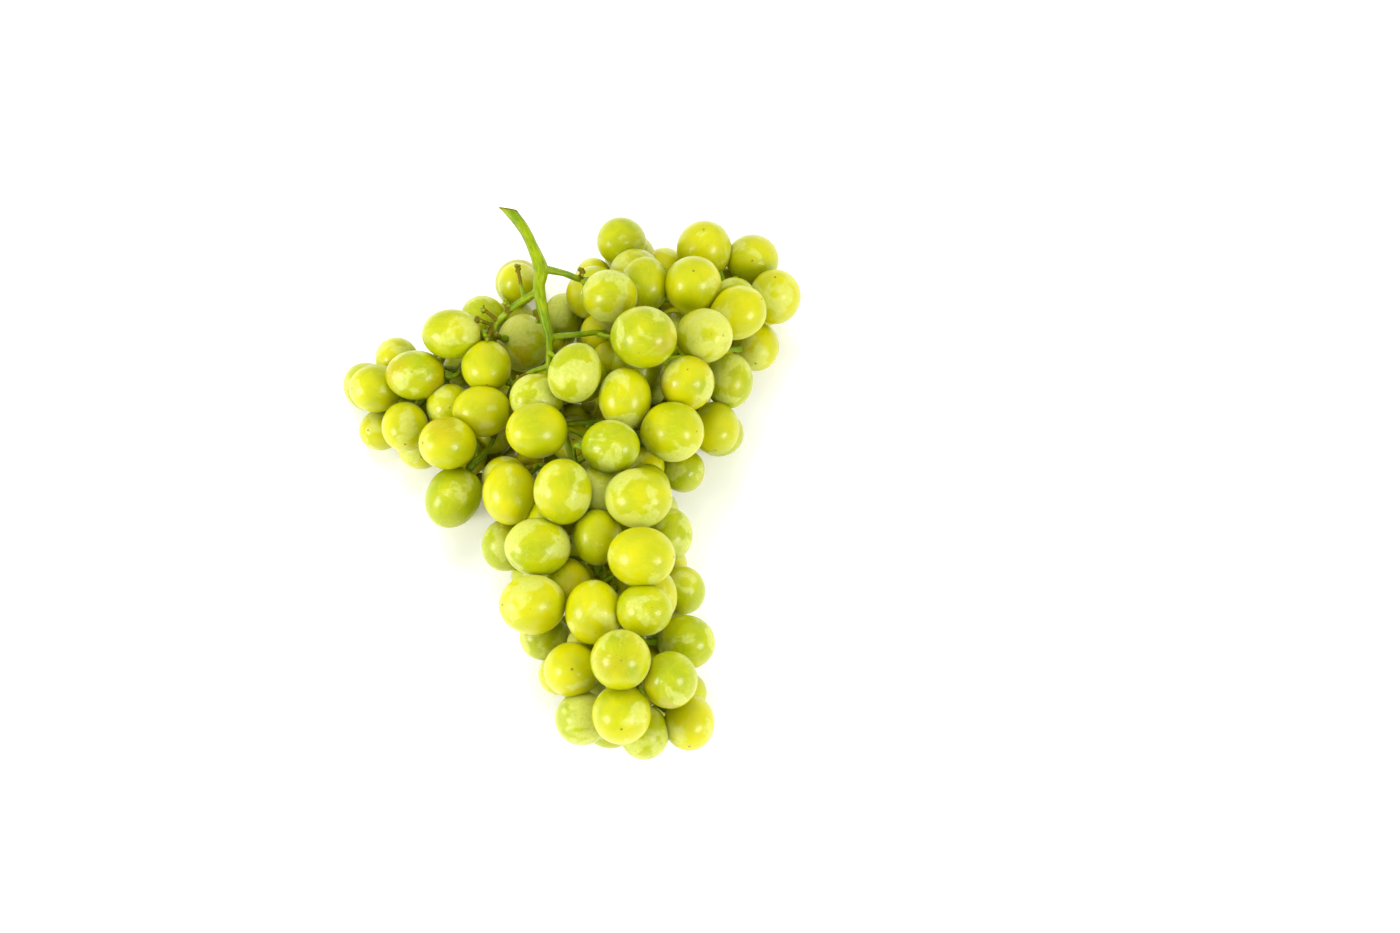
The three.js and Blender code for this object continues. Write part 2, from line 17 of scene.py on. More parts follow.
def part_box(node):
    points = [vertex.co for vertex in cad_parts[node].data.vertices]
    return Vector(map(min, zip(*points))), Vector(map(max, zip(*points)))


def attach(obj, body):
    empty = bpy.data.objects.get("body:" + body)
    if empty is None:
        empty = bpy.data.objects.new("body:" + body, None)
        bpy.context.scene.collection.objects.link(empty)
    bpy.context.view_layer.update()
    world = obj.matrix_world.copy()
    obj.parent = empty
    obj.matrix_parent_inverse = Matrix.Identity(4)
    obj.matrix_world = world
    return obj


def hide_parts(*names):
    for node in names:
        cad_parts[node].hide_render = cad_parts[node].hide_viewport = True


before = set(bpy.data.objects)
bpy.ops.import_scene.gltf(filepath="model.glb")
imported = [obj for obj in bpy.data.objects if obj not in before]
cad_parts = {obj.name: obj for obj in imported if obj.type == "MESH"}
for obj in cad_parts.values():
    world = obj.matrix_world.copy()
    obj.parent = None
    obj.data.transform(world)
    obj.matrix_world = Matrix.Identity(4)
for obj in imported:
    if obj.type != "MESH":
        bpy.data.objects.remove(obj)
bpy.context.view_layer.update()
MM = 0.001

# %% [markdown]
# ## The eye
# A bunch is a heap of about a hundred berries, and no simple rule gives the heap of a given
# bunch. So each berry that shows was put down as it looks from one eye: so many millimetres
# across and up a plane that faces the eye, so large, and so many layers high. The eye comes
# first, because it turns these readings into places, and it is also where the camera stands.

# %% The eye and its plane, in millimetres
EYE_TILT = math.radians(65)
EYE_DISTANCE = 778
EYE_ACROSS = 41.7
EYE_UP = 4.5
PLANE_MIDDLE = np.array([0.0, 0.0, 25.0])
ACROSS = np.array([1.0, 0.0, 0.0])
UP = np.array([0.0, math.sin(EYE_TILT), math.cos(EYE_TILT)])
TOWARDS_EYE = np.array([0.0, -math.cos(EYE_TILT), math.sin(EYE_TILT)])
EYE = PLANE_MIDDLE + EYE_ACROSS * ACROSS + EYE_UP * UP + EYE_DISTANCE * TOWARDS_EYE


def plane_point(across, up):
    """Return the point of the reading plane that lies so far across and up."""
    return PLANE_MIDDLE + across * ACROSS + up * UP


def point_seen(across, up, height):
    """Return the point at the given height that the eye sees there."""
    sight = plane_point(across, up) - EYE
    return EYE + sight * (height - EYE[2]) / sight[2]


def unit(vector):
    """Return a vector's direction."""
    return vector / np.linalg.norm(vector)


print("eye, mm:", EYE.round(1))

# %% The berries that show: [across, up, width, height, layers, lean]
SEEN_BERRIES = {
    "left_shoulder": [
        [-67.5, 30.5, 17.5, 16, 0.9], [-59.5, 40.5, 14, 14, 0.5], [-52.5, 35, 20, 16.5, 1.4],
        [-40, 48.5, 20, 16.5, 1.6], [-45, 49.5, 14.5, 14.5, 0.6], [-29.5, 55, 14.5, 14, 0.7],
        [-19, 65, 13.5, 14.5, 0.8], [-29.5, 37.5, 16.5, 17.5, 1.7], [-17, 45, 17.5, 19.5, 1],
        [-31, 23, 19.5, 17, 1.6], [-42, 24.5, 15.5, 15.5, 0.9], [-42.5, 12.5, 19, 17.5, 1.7],
        [-56.5, 17.5, 15.5, 16.5, 0.8], [-51.5, 11.5, 16, 16.5, 0.6], [-65, 16.5, 14, 13.5, 0.2],
        [-40, -5.5, 21.5, 18, 0.8, 60], [-35.5, 8.5, 14.5, 14.5, 0.6], [-27.5, 14, 14, 14, 0.6],
        [-37.5, 36, 13.5, 13.5, 0.6], [-20.5, 54, 14, 14.5, 0.3],
    ],
    "right_shoulder": [
        [16.5, 77, 16.5, 16, 1.1], [29, 70.5, 14, 14, 0.6], [42.5, 77, 18.5, 19.5, 1.2],
        [23, 65.5, 16, 18.5, 1.9], [19, 67.5, 17.5, 17.5, 1], [39, 65.5, 19, 19.5, 2],
        [59.5, 73, 17.5, 17.5, 0.7], [67.5, 61.5, 17, 18, 1], [52, 60, 14.5, 14.5, 1],
        [55.5, 55.5, 19.5, 17.5, 1.9, 30], [11.5, 61.5, 18.5, 17.5, 2.4],
        [23, 47.5, 22, 20.5, 2.8], [43.5, 49, 19, 18, 2.5], [37.5, 32.5, 18, 18.5, 2.2],
        [51.5, 33.5, 16, 18.5, 1.1], [60.5, 44.5, 15.5, 16.5, 0.4], [16.5, 28, 17.5, 20.5, 2.3],
        [32, 15.5, 21.5, 20, 2.2], [46, 17, 16, 17.5, 0.9], [-1, 55, 13.5, 14.5, 1],
        [5, 60, 13.5, 13.5, 0.6], [6, 66.5, 12, 12, 0.7], [9, 48.5, 13.5, 13.5, 1.2],
        [12.5, 41, 14, 14, 1.2], [26.5, 33.5, 14, 14, 1], [35, 3.5, 14.5, 14.5, 0.6],
    ],
    "body": [
        [-12.5, 27.5, 17.5, 16, 1.7], [-13, 16.5, 20.5, 18.5, 2.5], [1, 35.5, 20.5, 17.5, 2.6, 70],
        [12, 10.5, 19.5, 17.5, 2.4], [-1, 15.5, 16, 16, 1.4], [-22.5, 1.5, 15.5, 14.5, 1],
        [-21.5, -5, 18, 21, 1.8], [-3.5, -4.5, 19.5, 22, 2.4], [21.5, -6, 22.5, 20, 2.3],
        [24.5, 4.5, 13.5, 13.5, 1.2], [-12.5, -22, 22, 19.5, 2], [-23.5, -21.5, 15.5, 17.5, 0.8],
        [7, -18.5, 16.5, 18.5, 1.3], [22.5, -25.5, 22.5, 20, 2.2], [31, -18.5, 15.5, 17.5, 0.9],
        [-14, -41, 22, 20, 1.5], [-10.5, -52, 16.5, 15.5, 0.5], [6, -44, 19, 21.5, 1.8],
        [23.5, -43.5, 19, 17.5, 2.1], [36.5, -36.5, 15, 16, 0.9], [37, -53.5, 19.5, 18, 0.9],
        [14.5, -59, 20, 20, 2.2], [32.5, -67, 18.5, 19, 1.7], [-0.5, -63.5, 18.5, 18.5, 1.2],
        [-5, -65, 14, 14, 0.3], [2.5, -79, 18, 18, 0.6], [15.5, -79, 19.5, 20, 1.5],
        [22.5, -84.5, 16.5, 17.5, 0.4], [38.5, -81, 17, 18.5, 0.6], [0, -33.5, 13.5, 13.5, 0.4],
        [37.5, -71, 13.5, 13.5, 0.2],
    ],
}
LOBES = list(SEEN_BERRIES)
print("berries that show:", sum(len(rows) for rows in SEEN_BERRIES.values()))

# %% [markdown]
# ## Where the stalk runs
# The stem of a bunch branches like a small tree, and it shows in the photograph only here and
# there. Its lines are read in the same plane as the berries, with a height for each reading.
# Beads along them stand for its thickness while the berries settle round it.

# %% The stalk: [across, up, height above the table, thickness]
MAIN_STEM = [
    [-22.5, 90.5, 59, 4.4], [-18, 85, 58, 3.8], [-14.5, 78.5, 56, 3.8], [-11.5, 70.5, 54, 4.8],
    [-12, 64.5, 52, 4], [-11, 58, 50, 3.8], [-9.5, 51.5, 47, 3.2], [-8.5, 47.5, 45, 2.8],
    [-8.5, 42.5, 42, 2.4], [-8.5, 38, 39, 2.4], [-7.5, 30, 34, 2.4], [-4.5, 18.5, 30, 2.4],
    [0.5, 3.5, 28, 2.2], [5.5, -11.5, 27, 2.2], [8.5, -26.5, 26, 2], [11.5, -41.5, 25, 2],
    [17.5, -58.5, 22, 1.8], [24.5, -75, 18, 1.6],
]
SIDE_BRANCHES = [
    [[-11.5, 70.5, 54, 3], [-4, 69, 51, 2.2], [1.5, 67, 47, 2.2], [5.5, 66.5, 42, 2],
     [16.5, 63.5, 32, 1.8], [30, 60, 27, 1.8], [45.5, 60, 24, 1.6], [56.5, 60, 20, 1.4]],
    [[-12, 63, 51, 2.8], [-19.5, 58.5, 47, 2.2], [-24, 54.5, 43, 2.2], [-28, 50.5, 38, 2],
     [-32.5, 43.5, 31, 2], [-41, 35, 25, 1.8], [-50, 26.5, 20, 1.6], [-58.5, 24, 17, 1.4]],
    [[-8.5, 47.5, 45, 2.2], [1.5, 48.5, 42, 2], [10.5, 48.5, 38, 2], [21.5, 40, 30, 1.8],
     [38.5, 41.5, 28, 1.6], [50, 43.5, 24, 1.4]],
    [[-8.5, 38, 39, 2], [-15.5, 35.5, 36, 1.8], [-20.5, 31.5, 32, 1.8], [-23.5, 23.5, 26, 1.8],
     [-29, 10, 24, 1.6], [-35, 3.5, 20, 1.4]],
    [[-4.5, 18.5, 30, 1.8], [8.5, 20, 29, 1.6], [23.5, 23.5, 27, 1.6], [38.5, 18.5, 22, 1.4]],
    [[0.5, 3.5, 28, 1.8], [-10, 5, 28, 1.6], [-18.5, 3.5, 24, 1.4]],
    [[5.5, -11.5, 27, 1.8], [16.5, -13.5, 28, 1.6], [25, -15, 24, 1.4]],
    [[8.5, -26.5, 26, 1.8], [-1.5, -26.5, 25, 1.6], [-11.5, -31.5, 20, 1.4]],
    [[11.5, -41.5, 25, 1.8], [21.5, -48.5, 24, 1.6], [31.5, -48.5, 20, 1.4]],
    [[17.5, -58.5, 22, 1.6], [8.5, -60, 20, 1.4], [1.5, -66.5, 17, 1.4]],
]
DRY_TWIGS = [
    [[-17, 60, 48, 1.4], [-18, 65, 50, 1.3], [-19, 70.5, 52, 1.9]],
    [[-12.5, 61, 50, 1.3], [-12.5, 57, 47, 1.2], [-12, 53.5, 44, 1.8]],
    [[-25.5, 53, 41, 1.4], [-30.5, 57, 45, 2]],
    [[-27, 51.5, 39.5, 1.4], [-32.5, 53.5, 43, 1.9]],
    [[-27.5, 51, 39, 1.4], [-29, 47, 41, 1.9]],
    [[-22, 56, 45, 1.3], [-23, 58.5, 47, 1.8]],
    [[-16.5, 35, 35.5, 1.3], [-19, 33.5, 38, 2]],
    [[1.5, 67, 47, 1.4], [2.5, 69.5, 49, 1.9]],
]
BEAD_SPACING = 2.5


def stalk_beads():
    """Return the middles and radii of the beads along the stalk that berries keep clear of."""
    middles, radii = [], []
    for line in [MAIN_STEM, *SIDE_BRANCHES]:
        for row, next_row in zip(line, line[1:]):
            start, end = point_seen(*row[:3]), point_seen(*next_row[:3])
            # The plain model rounds a half up, so the same is done here.
            count = max(1, math.floor(np.linalg.norm(end - start) / BEAD_SPACING + 0.5))
            for k in range(count):
                middles.append(start + (end - start) * k / count)
                radii.append((row[3] + (next_row[3] - row[3]) * k / count) / 2)
    return np.array(middles), np.array(radii)


BEADS, BEAD_RADII = stalk_beads()
print("stalk beads:", len(BEADS))

# %% [markdown]
# ## Where the berries hang
# Real berries of a heap press on each other and are held by their twigs. We copy that with a
# small settling step: overlapping berries push each other apart, berries that were seen keep
# to their line of sight, and unseen ones fill the room beneath. Chance has a part only in the
# widths of the unseen berries, and those come from a seeded series, so each run gives the same
# bunch as the plain model.

# %% A berry is an oval that leans on its twig
BERRY_STRETCH = 1.14
TABLE_PRESS = 0.6
LAYER_RISE = 15


def nearest_bead(point):
    """Return the stalk bead that lies nearest to a point."""
    return BEADS[np.argmin(np.linalg.norm(BEADS - point, axis=1))]


def berry_from_row(across, up, width, height, layers, lean=None):
    """Return the berry that one row describes."""
    size = min(width, height)
    centre = point_seen(across, up, size / 2 - TABLE_PRESS + layers * LAYER_RISE)
    nearness = np.linalg.norm(EYE - centre) / np.linalg.norm(EYE - plane_point(across, up))
    roundness = max(width, height) / size
    stretch = max(BERRY_STRETCH, roundness)
    sine = math.sqrt((roundness**2 - 1) / (stretch**2 - 1))
    if lean is None:
        lean = 0 if width >= height else 90
    turn = math.radians(lean)
    flat = ACROSS * math.cos(turn) + UP * math.sin(turn)
    if flat @ (centre - nearest_bead(centre)) < 0:
        flat = -flat
    sight = unit(centre - EYE)
    axis = flat * sine - sight * math.sqrt(1 - sine**2)
    short = size * nearness / 2
    return {"centre": centre, "axis": axis, "short": short, "long": short * stretch,
            "sight": sight, "seen": True}


print("half a berry 18 mm wide is long, mm:", round(9 * BERRY_STRETCH, 1))

# %% The unseen berries fill the room behind the gaps and under each berry
HIDDEN_WIDTH_MIN = 15.5
HIDDEN_WIDTH_MAX = 18.5
HIDDEN_DEPTH = 3
HIDDEN_SPACING = 0.95
HIDDEN_ROOM = 0.78
SUNK_LIMIT = 0.55
PAIR_REACH = 1.6
GAP_DEPTH = 11
COVER_MARGIN = 1.22
RIM_POINTS = 8
draw_state = 7


def draw():
    """Return the next number of a repeatable random series, from 0 to 1."""
    global draw_state
    draw_state = (1664525 * draw_state + 1013904223) % 4294967296
    return draw_state / 4294967296


def is_covered(centre, short, shown):
    """Tell whether a berry's whole outline lies behind berries that show, or just beside one."""
    for k in range(RIM_POINTS):
        turn = 2 * math.pi * k / RIM_POINTS
        rim = centre + ACROSS * short * math.cos(turn) + UP * short * math.sin(turn)
        sight = unit(rim - EYE)
        if not any(
            np.linalg.norm(np.cross(berry["centre"] - EYE, sight)) < berry["short"] * COVER_MARGIN
            for berry in shown
        ):
            return False
    return True


def berries_behind(point, first_depth, berries, shown, lobe):
    """Return the berries that hide behind a point, as far as there is room."""
    sight = unit(point - EYE)
    added = []
    for k in range(HIDDEN_DEPTH):
        short = (HIDDEN_WIDTH_MIN + (HIDDEN_WIDTH_MAX - HIDDEN_WIDTH_MIN) * draw()) / 2
        centre = point + sight * (first_depth + 2 * short * HIDDEN_SPACING * k)
        if centre[2] < short * SUNK_LIMIT:
            continue
        centre[2] = max(centre[2], short - TABLE_PRESS)
        crowded = any(
            np.linalg.norm(other["centre"] - centre) < (short + other["short"]) * HIDDEN_ROOM
            for other in [*berries, *added]
        )
        if not crowded and is_covered(centre, short, shown):
            axis = unit(centre - nearest_bead(centre))
            long = short * BERRY_STRETCH
            added.append({"centre": centre, "axis": axis, "short": short, "long": long,
                          "sight": sight, "seen": False, "lobe": lobe})
    return added


def all_berries():
    """Return every berry of the bunch before it has settled."""
    berries = [
        {**berry_from_row(*row), "lobe": lobe} for lobe, rows in SEEN_BERRIES.items() for row in rows
    ]
    shown = list(berries)
    for index, first in enumerate(shown):
        for second in shown[index + 1:]:
            apart = np.linalg.norm(first["centre"] - second["centre"])
            if apart < (first["short"] + second["short"]) * PAIR_REACH:
                middle = (first["centre"] + second["centre"]) / 2
                berries += berries_behind(middle, GAP_DEPTH, berries, shown, first["lobe"])
    for top in shown:
        depth = 2 * top["short"] * HIDDEN_SPACING
        berries += berries_behind(top["centre"], depth, berries, shown, top["lobe"])
    return berries


berries = all_berries()
print("berries in all:", len(berries))

# %% Let the bunch settle
BOND_PRESS = 1.4
NEIGHBOUR_CLEARANCE = 0.5
LOBE_CLEARANCE = 1.4
STALK_CLEARANCE = 1
ROUNDS = [40, 40, 40, 40, 300]
PUSH = 0.3
SIGHT_PULL = 0.15
HIDDEN_PULL = 0.05
HOME_PULL = 0.01
WEIGHT = 0.04

centres = np.array([berry["centre"] for berry in berries])
homes = centres.copy()
axes = np.array([berry["axis"] for berry in berries])
shorts = np.array([berry["short"] for berry in berries])
longs = np.array([berry["long"] for berry in berries])
sights = np.array([berry["sight"] for berry in berries])
seen = np.array([berry["seen"] for berry in berries])
lobes = np.array([LOBES.index(berry["lobe"]) for berry in berries])


def reaches(directions):
    """Return how far each berry's skin lies from its middle in its own row of directions."""
    along = np.einsum("ik,ijk->ij", axes, directions) ** 2
    return 1 / np.sqrt(along / longs[:, None] ** 2 + (1 - along) / shorts[:, None] ** 2)


def lines_between(starts, ends):
    """Return the distance and direction from each start to each end."""
    lines = ends[None, :, :] - starts[:, None, :]
    distances = np.linalg.norm(lines, axis=2)
    return distances, lines / np.maximum(distances, 1e-9)[:, :, None]


def find_bonds():
    """Return which pairs of berries hold each lobe together: the shortest links that reach all."""
    distances, directions = lines_between(centres, centres)
    reach = reaches(directions)
    gaps = distances - reach - reach.T
    bonds = np.zeros(gaps.shape, dtype=bool)
    for lobe in range(len(LOBES)):
        waiting = list(np.flatnonzero(lobes == lobe))
        linked = [waiting.pop(0)]
        while waiting:
            links = gaps[np.ix_(linked, waiting)]
            inside, outside = np.unravel_index(np.argmin(links), links.shape)
            bonds[linked[inside], waiting[outside]] = bonds[waiting[outside], linked[inside]] = True
            linked.append(waiting.pop(outside))
    return bonds


def settle_once(bonds):
    """Move all berries one step towards rest."""
    global centres
    distances, directions = lines_between(centres, centres)
    reach = reaches(directions)
    contact = np.where(lobes[:, None] == lobes[None, :], NEIGHBOUR_CLEARANCE, LOBE_CLEARANCE)
    contact = np.where(bonds, -BOND_PRESS, contact)
    overlap = reach + reach.T + contact - distances
    overlap = np.where((overlap > 0) | bonds, overlap, 0)
    np.fill_diagonal(overlap, 0)
    moves = -PUSH * np.einsum("ij,ijk->ik", overlap, directions)
    distances, directions = lines_between(centres, BEADS)
    overlap = np.maximum(reaches(directions) + BEAD_RADII[None, :] + STALK_CLEARANCE - distances, 0)
    moves -= PUSH * np.einsum("ij,ijk->ik", overlap, directions)
    moved = centres + moves
    on_sight = EYE + sights * np.sum((moved - EYE) * sights, axis=1)[:, None]
    moved += (on_sight - moved) * np.where(seen, SIGHT_PULL, HIDDEN_PULL)[:, None]
    moved += (homes - moved) * HOME_PULL
    moved[:, 2] -= np.where(seen, 0, WEIGHT)
    upright = reaches(np.tile(np.array([0.0, 0.0, 1.0]), (len(moved), 1, 1)))[:, 0]
    moved[:, 2] = np.maximum(moved[:, 2], upright - TABLE_PRESS)
    centres = moved


for steps in ROUNDS:
    bonds = find_bonds()
    for _ in range(steps):
        settle_once(bonds)
print("moved while settling, mm:", np.linalg.norm(centres - homes, axis=1).mean().round(2))

# %% Stand the middle of the bunch over the origin
half_sizes = np.sqrt(shorts[:, None] ** 2 * (1 - axes**2) + longs[:, None] ** 2 * axes**2)
lowest = np.minimum((centres - half_sizes).min(axis=0), (BEADS - BEAD_RADII[:, None]).min(axis=0))
highest = np.maximum((centres + half_sizes).max(axis=0), (BEADS + BEAD_RADII[:, None]).max(axis=0))
SHIFT = -(lowest + highest) / 2
SHIFT[2] = 0


def to_world(points):
    """Return points of the settled bunch as places in the scene, in metres."""
    return (np.asarray(points) + SHIFT) * MM


for index, lobe in enumerate(LOBES):
    plain_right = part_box(f"berries_{lobe}")[1].x
    right = to_world(centres[lobes == index] + half_sizes[lobes == index])[:, 0].max()
    print("plain", lobe, "reaches further right by, mm:", round(float(plain_right - right) / MM, 2))

# %% [markdown]
# ## Twigs
# Each berry hangs on a twig of its own, and twigs fork from one another near the branch. We
# go through the berries from the stalk outwards and give each one the nearest root that it
# can reach in a straight line, or with one bend at its neck, without going through a berry.

# %% Twigs, each from the nearest place on the stalk with a clear way to its berry
TWIG_WIDTH = 1.5
TWIG_GAP = 0.4
TWIG_NECK = 3
TWIG_BEND = math.radians(70)
TWIG_REACH = 22
HIDDEN_TWIG_REACH = 3
TWIG_FORK = 8
FORK_SHARE = 0.6
HIDDEN_FACET_GAIN = 1.06


def reach_of(indices, directions):
    """Return how far the skins of some berries lie from their middles, one direction each."""
    along = np.sum(axes[indices] * directions, axis=1) ** 2
    return 1 / np.sqrt(along / longs[indices] ** 2 + (1 - along) / shorts[indices] ** 2)


def is_clear(start, end, indices):
    """Tell whether a straight twig from start to end stays clear of all these berries."""
    way = end - start
    share = np.clip((centres[indices] - start) @ way / max(way @ way, 1e-12), 0, 1)
    lines = start + share[:, None] * way - centres[indices]
    distances = np.linalg.norm(lines, axis=1)
    skins = reach_of(indices, lines / distances[:, None])
    return bool(np.all(distances > skins * HIDDEN_FACET_GAIN + TWIG_WIDTH / 2 + TWIG_GAP))


def off_skin(index, side, gap):
    """Return the point just off a berry's skin on one side of it."""
    skin = reach_of(np.array([index]), side[None, :])[0]
    return centres[index] + side * (skin * HIDDEN_FACET_GAIN + gap)


def twig_path(index, roots):
    """Return the bends of the twig that carries a berry, from its root on the stalk, or None."""
    everyone = np.arange(len(centres))
    others = everyone[everyone != index]
    apart = [np.linalg.norm(root - centres[index]) for root in roots]
    reach = TWIG_REACH + longs[index]
    near = [roots[k] for k in np.argsort(apart, kind="stable") if apart[k] < reach]
    pole = -axes[index]
    neck, end = off_skin(index, pole, TWIG_NECK), off_skin(index, pole, TWIG_GAP)
    if is_clear(neck, end, others):
        for root in near:
            bend = math.acos(np.clip(unit(root - neck) @ pole, -1, 1))
            above_table = root[2] > TWIG_WIDTH and neck[2] > TWIG_WIDTH
            if bend < TWIG_BEND and above_table and is_clear(root, neck, everyone):
                return [root, neck, end]
    for root in near:
        meeting = off_skin(index, unit(root - centres[index]), TWIG_GAP)
        if np.linalg.norm(meeting - root) > TWIG_WIDTH and is_clear(root, meeting, others):
            return [root, meeting]
    return None


def twig_paths():
    """Return the twig of each berry that has one, with the berry's index."""
    roots = list(BEADS)
    stalk_distance = [np.linalg.norm(nearest_bead(centre) - centre) for centre in centres]
    paths = {}
    for index in np.argsort(stalk_distance, kind="stable"):
        path = twig_path(index, roots)
        if path is None:
            continue
        length = np.linalg.norm(path[1] - path[0])
        if seen[index] or length < HIDDEN_TWIG_REACH:
            paths[index] = path
            roots = [root for root in roots if root is not path[0]]
            if length > TWIG_FORK:
                roots.append(path[0] + (path[1] - path[0]) * FORK_SHARE)
    return paths


twigs = twig_paths()
print("twigs:", len(twigs))

# %% [markdown]
# ## Late berries
# Some berries of a bunch set late, stay small and sit in the chinks between the big ones. They
# are why one sees no table through a real bunch. We look along a grid of sight lines for those
# that still reach the table with berries all round, and put a small berry at the lowest place
# on such a line where there is room and something to rest on.

# %% Find the chinks
SIGHT_STEP = 1.5
CHINK_STEPS = 9
GRID_LEFT = -78
GRID_RIGHT = 75
GRID_BOTTOM = -92
GRID_TOP = 92
EIGHT_WAYS = [(-1, -1), (-1, 0), (-1, 1), (0, -1), (0, 1), (1, -1), (1, 0), (1, 1)]
grid_lines = np.array([
    [unit(plane_point(across, up) - EYE) for up in np.arange(GRID_BOTTOM, GRID_TOP, SIGHT_STEP)]
    for across in np.arange(GRID_LEFT, GRID_RIGHT, SIGHT_STEP)
])


def lines_hit(centre, axis, short, long):
    """Tell which sight lines of the grid meet an oval."""
    squeeze = short / long - 1
    start = EYE - centre
    start = start + axis * squeeze * (start @ axis)
    way = grid_lines + axis * squeeze * (grid_lines @ axis)[..., None]
    nearest = start @ start - (way @ start) ** 2 / np.sum(way * way, axis=2)
    return nearest < short**2


blocked = np.zeros(grid_lines.shape[:2], dtype=bool)
for centre, axis, short, long in zip(centres, axes, shorts, longs):
    blocked |= lines_hit(centre, axis, short, long)

# A chink has a berry within a few steps to every side of it.
chinks = ~blocked
for side in EIGHT_WAYS:
    shifted = [
        np.roll(blocked, (step * side[0], step * side[1]), axis=(0, 1))
        for step in range(1, CHINK_STEPS)
    ]
    chinks &= np.any(shifted, axis=0)
print("chinks, in grid points:", int(chinks.sum()))

# %% Fill them
LATE_RADIUS_MAX = 5.5
LATE_RADIUS_MIN = 1.8
LATE_PRESS = 0.7
LATE_STRETCH = 1.08
BELOW_TOP_LAYER = 3
TOP_NEIGHBOURS = 3
HEAP_REACH = 12
FEWEST_AROUND = 5
ONE_SIDED = 0.4
HEIGHT_STEP = 0.5
WORTH_RISING = 0.05
settled = len(centres)


def room_at(point):
    """Return how far a point inside the heap is from berries, stalk and table, or 0 outside it."""
    lines = point - centres
    distances = np.linalg.norm(lines, axis=1)
    directions = lines / distances[:, None]
    berry_room = distances - reach_of(np.arange(len(centres)), directions)
    around = directions[berry_room < HEAP_REACH, :2]
    if len(around) < FEWEST_AROUND or np.linalg.norm(around.mean(axis=0)) > ONE_SIDED:
        return 0
    stalk_room = (np.linalg.norm(BEADS - point, axis=1) - BEAD_RADII).min()
    return min(berry_room.min(), stalk_room, point[2])


for i, j in np.argwhere(chinks):
    if blocked[i, j]:
        continue
    line = grid_lines[i, j]
    top = centres[:settled][seen[:settled]]
    off_line = np.linalg.norm(np.cross(top - EYE, line), axis=1)
    highest_place = top[np.argsort(off_line)[:TOP_NEIGHBOURS], 2].min() - BELOW_TOP_LAYER
    best_room, best_point = 0, None
    for height in np.arange(LATE_RADIUS_MIN, max(highest_place, LATE_RADIUS_MIN + 1), HEIGHT_STEP):
        point = EYE + line * (height - EYE[2]) / line[2]
        room = min(room_at(point), LATE_RADIUS_MAX - LATE_PRESS)
        if room > best_room + WORTH_RISING:
            best_room, best_point = room, point
    radius = best_room + LATE_PRESS
    if best_point is None or radius < LATE_RADIUS_MIN:
        continue
    nearest = np.argmin(np.linalg.norm(centres[:settled] - best_point, axis=1))
    centres = np.vstack([centres, best_point])
    axes = np.vstack([axes, unit(best_point - nearest_bead(best_point))])
    shorts = np.append(shorts, radius)
    longs = np.append(longs, radius * LATE_STRETCH)
    seen = np.append(seen, False)
    lobes = np.append(lobes, lobes[nearest])
    blocked |= lines_hit(centres[-1], axes[-1], shorts[-1], longs[-1])
print("late berries:", len(centres) - settled)

# %% [markdown]
# ## One berry
# A grape is nearly an egg: round at the twig, a touch slimmer at the far end, where a tiny
# brown scar is all that is left of the flower. It is dimpled at the twig and slightly uneven,
# and the lowest berries are pressed flat on the table. A subdivided cube or a UV sphere would
# give an oval too. We take rings round the berry's own axis, because the dimple and the scar
# lie on that axis, and shape each ring by formula.

# %% Rings of points that make an egg with a dimple and a scar
BERRY_RINGS = 40
BERRY_SEGMENTS = 48
INNER_RINGS = 22
INNER_SEGMENTS = 28
DIMPLE_DEPTH = 0.07
DIMPLE_WIDTH = 0.2
SCAR_HEIGHT = 0.015
SCAR_WIDTH = 0.06
EGG_TAPER = 0.03
UNEVENNESS = 0.009
UNEVEN_TURNS = 1.5
UNEVEN_WAVES = 4
RING_BUNCHING = 0.35


def unit_egg(rings, segments, shape_draws):
    """Return the points of a berry of radius 1 whose axis is Z, and the faces between them."""
    polar = np.concatenate([[0], (np.arange(rings - 1) + 1) / rings, [1]]) * math.pi
    # Rings lie closer together at both ends, where the dimple and the scar are.
    polar = polar - RING_BUNCHING * np.sin(2 * polar) / 2
    turn = np.arange(segments) * 2 * math.pi / segments
    points = [[0, 0, 1]]
    for angle in polar[1:-1]:
        off, height = math.sin(angle), math.cos(angle)
        points += [[off * math.cos(around), off * math.sin(around), height] for around in turn]
    points.append([0, 0, -1])
    points = np.array(points)
    waves = sum(
        math.sin(k + 1) * np.sin(points @ shape_draws[3 * k:3 * k + 3] * UNEVEN_TURNS + k)
        for k in range(UNEVEN_WAVES)
    )
    radius = 1 + UNEVENNESS * waves
    radius *= 1 - EGG_TAPER * points[:, 2]
    off_axis = np.hypot(points[:, 0], points[:, 1])
    dimple = np.exp(-((off_axis / DIMPLE_WIDTH) ** 2)) * (points[:, 2] < 0)
    scar = np.exp(-((off_axis / SCAR_WIDTH) ** 2)) * (points[:, 2] > 0)
    radius += SCAR_HEIGHT * scar - DIMPLE_DEPTH * dimple
    faces = [(0, 1 + k, 1 + (k + 1) % segments) for k in range(segments)]
    for ring in range(rings - 2):
        first, second = 1 + ring * segments, 1 + (ring + 1) * segments
        for k in range(segments):
            after = (k + 1) % segments
            faces.append((first + k, second + k, second + after, first + after))
    last, final = 1 + (rings - 2) * segments, len(points) - 1
    faces += [(last + k, final, last + (k + 1) % segments) for k in range(segments)]
    return points * radius[:, None], faces


print("faces of a berry that shows:", BERRY_RINGS * BERRY_SEGMENTS)

# %% Make the mesh of one berry, with what its finish needs to know
BERRY_DRAWS = np.random.default_rng(11)
TABLE_GAP = 0.03


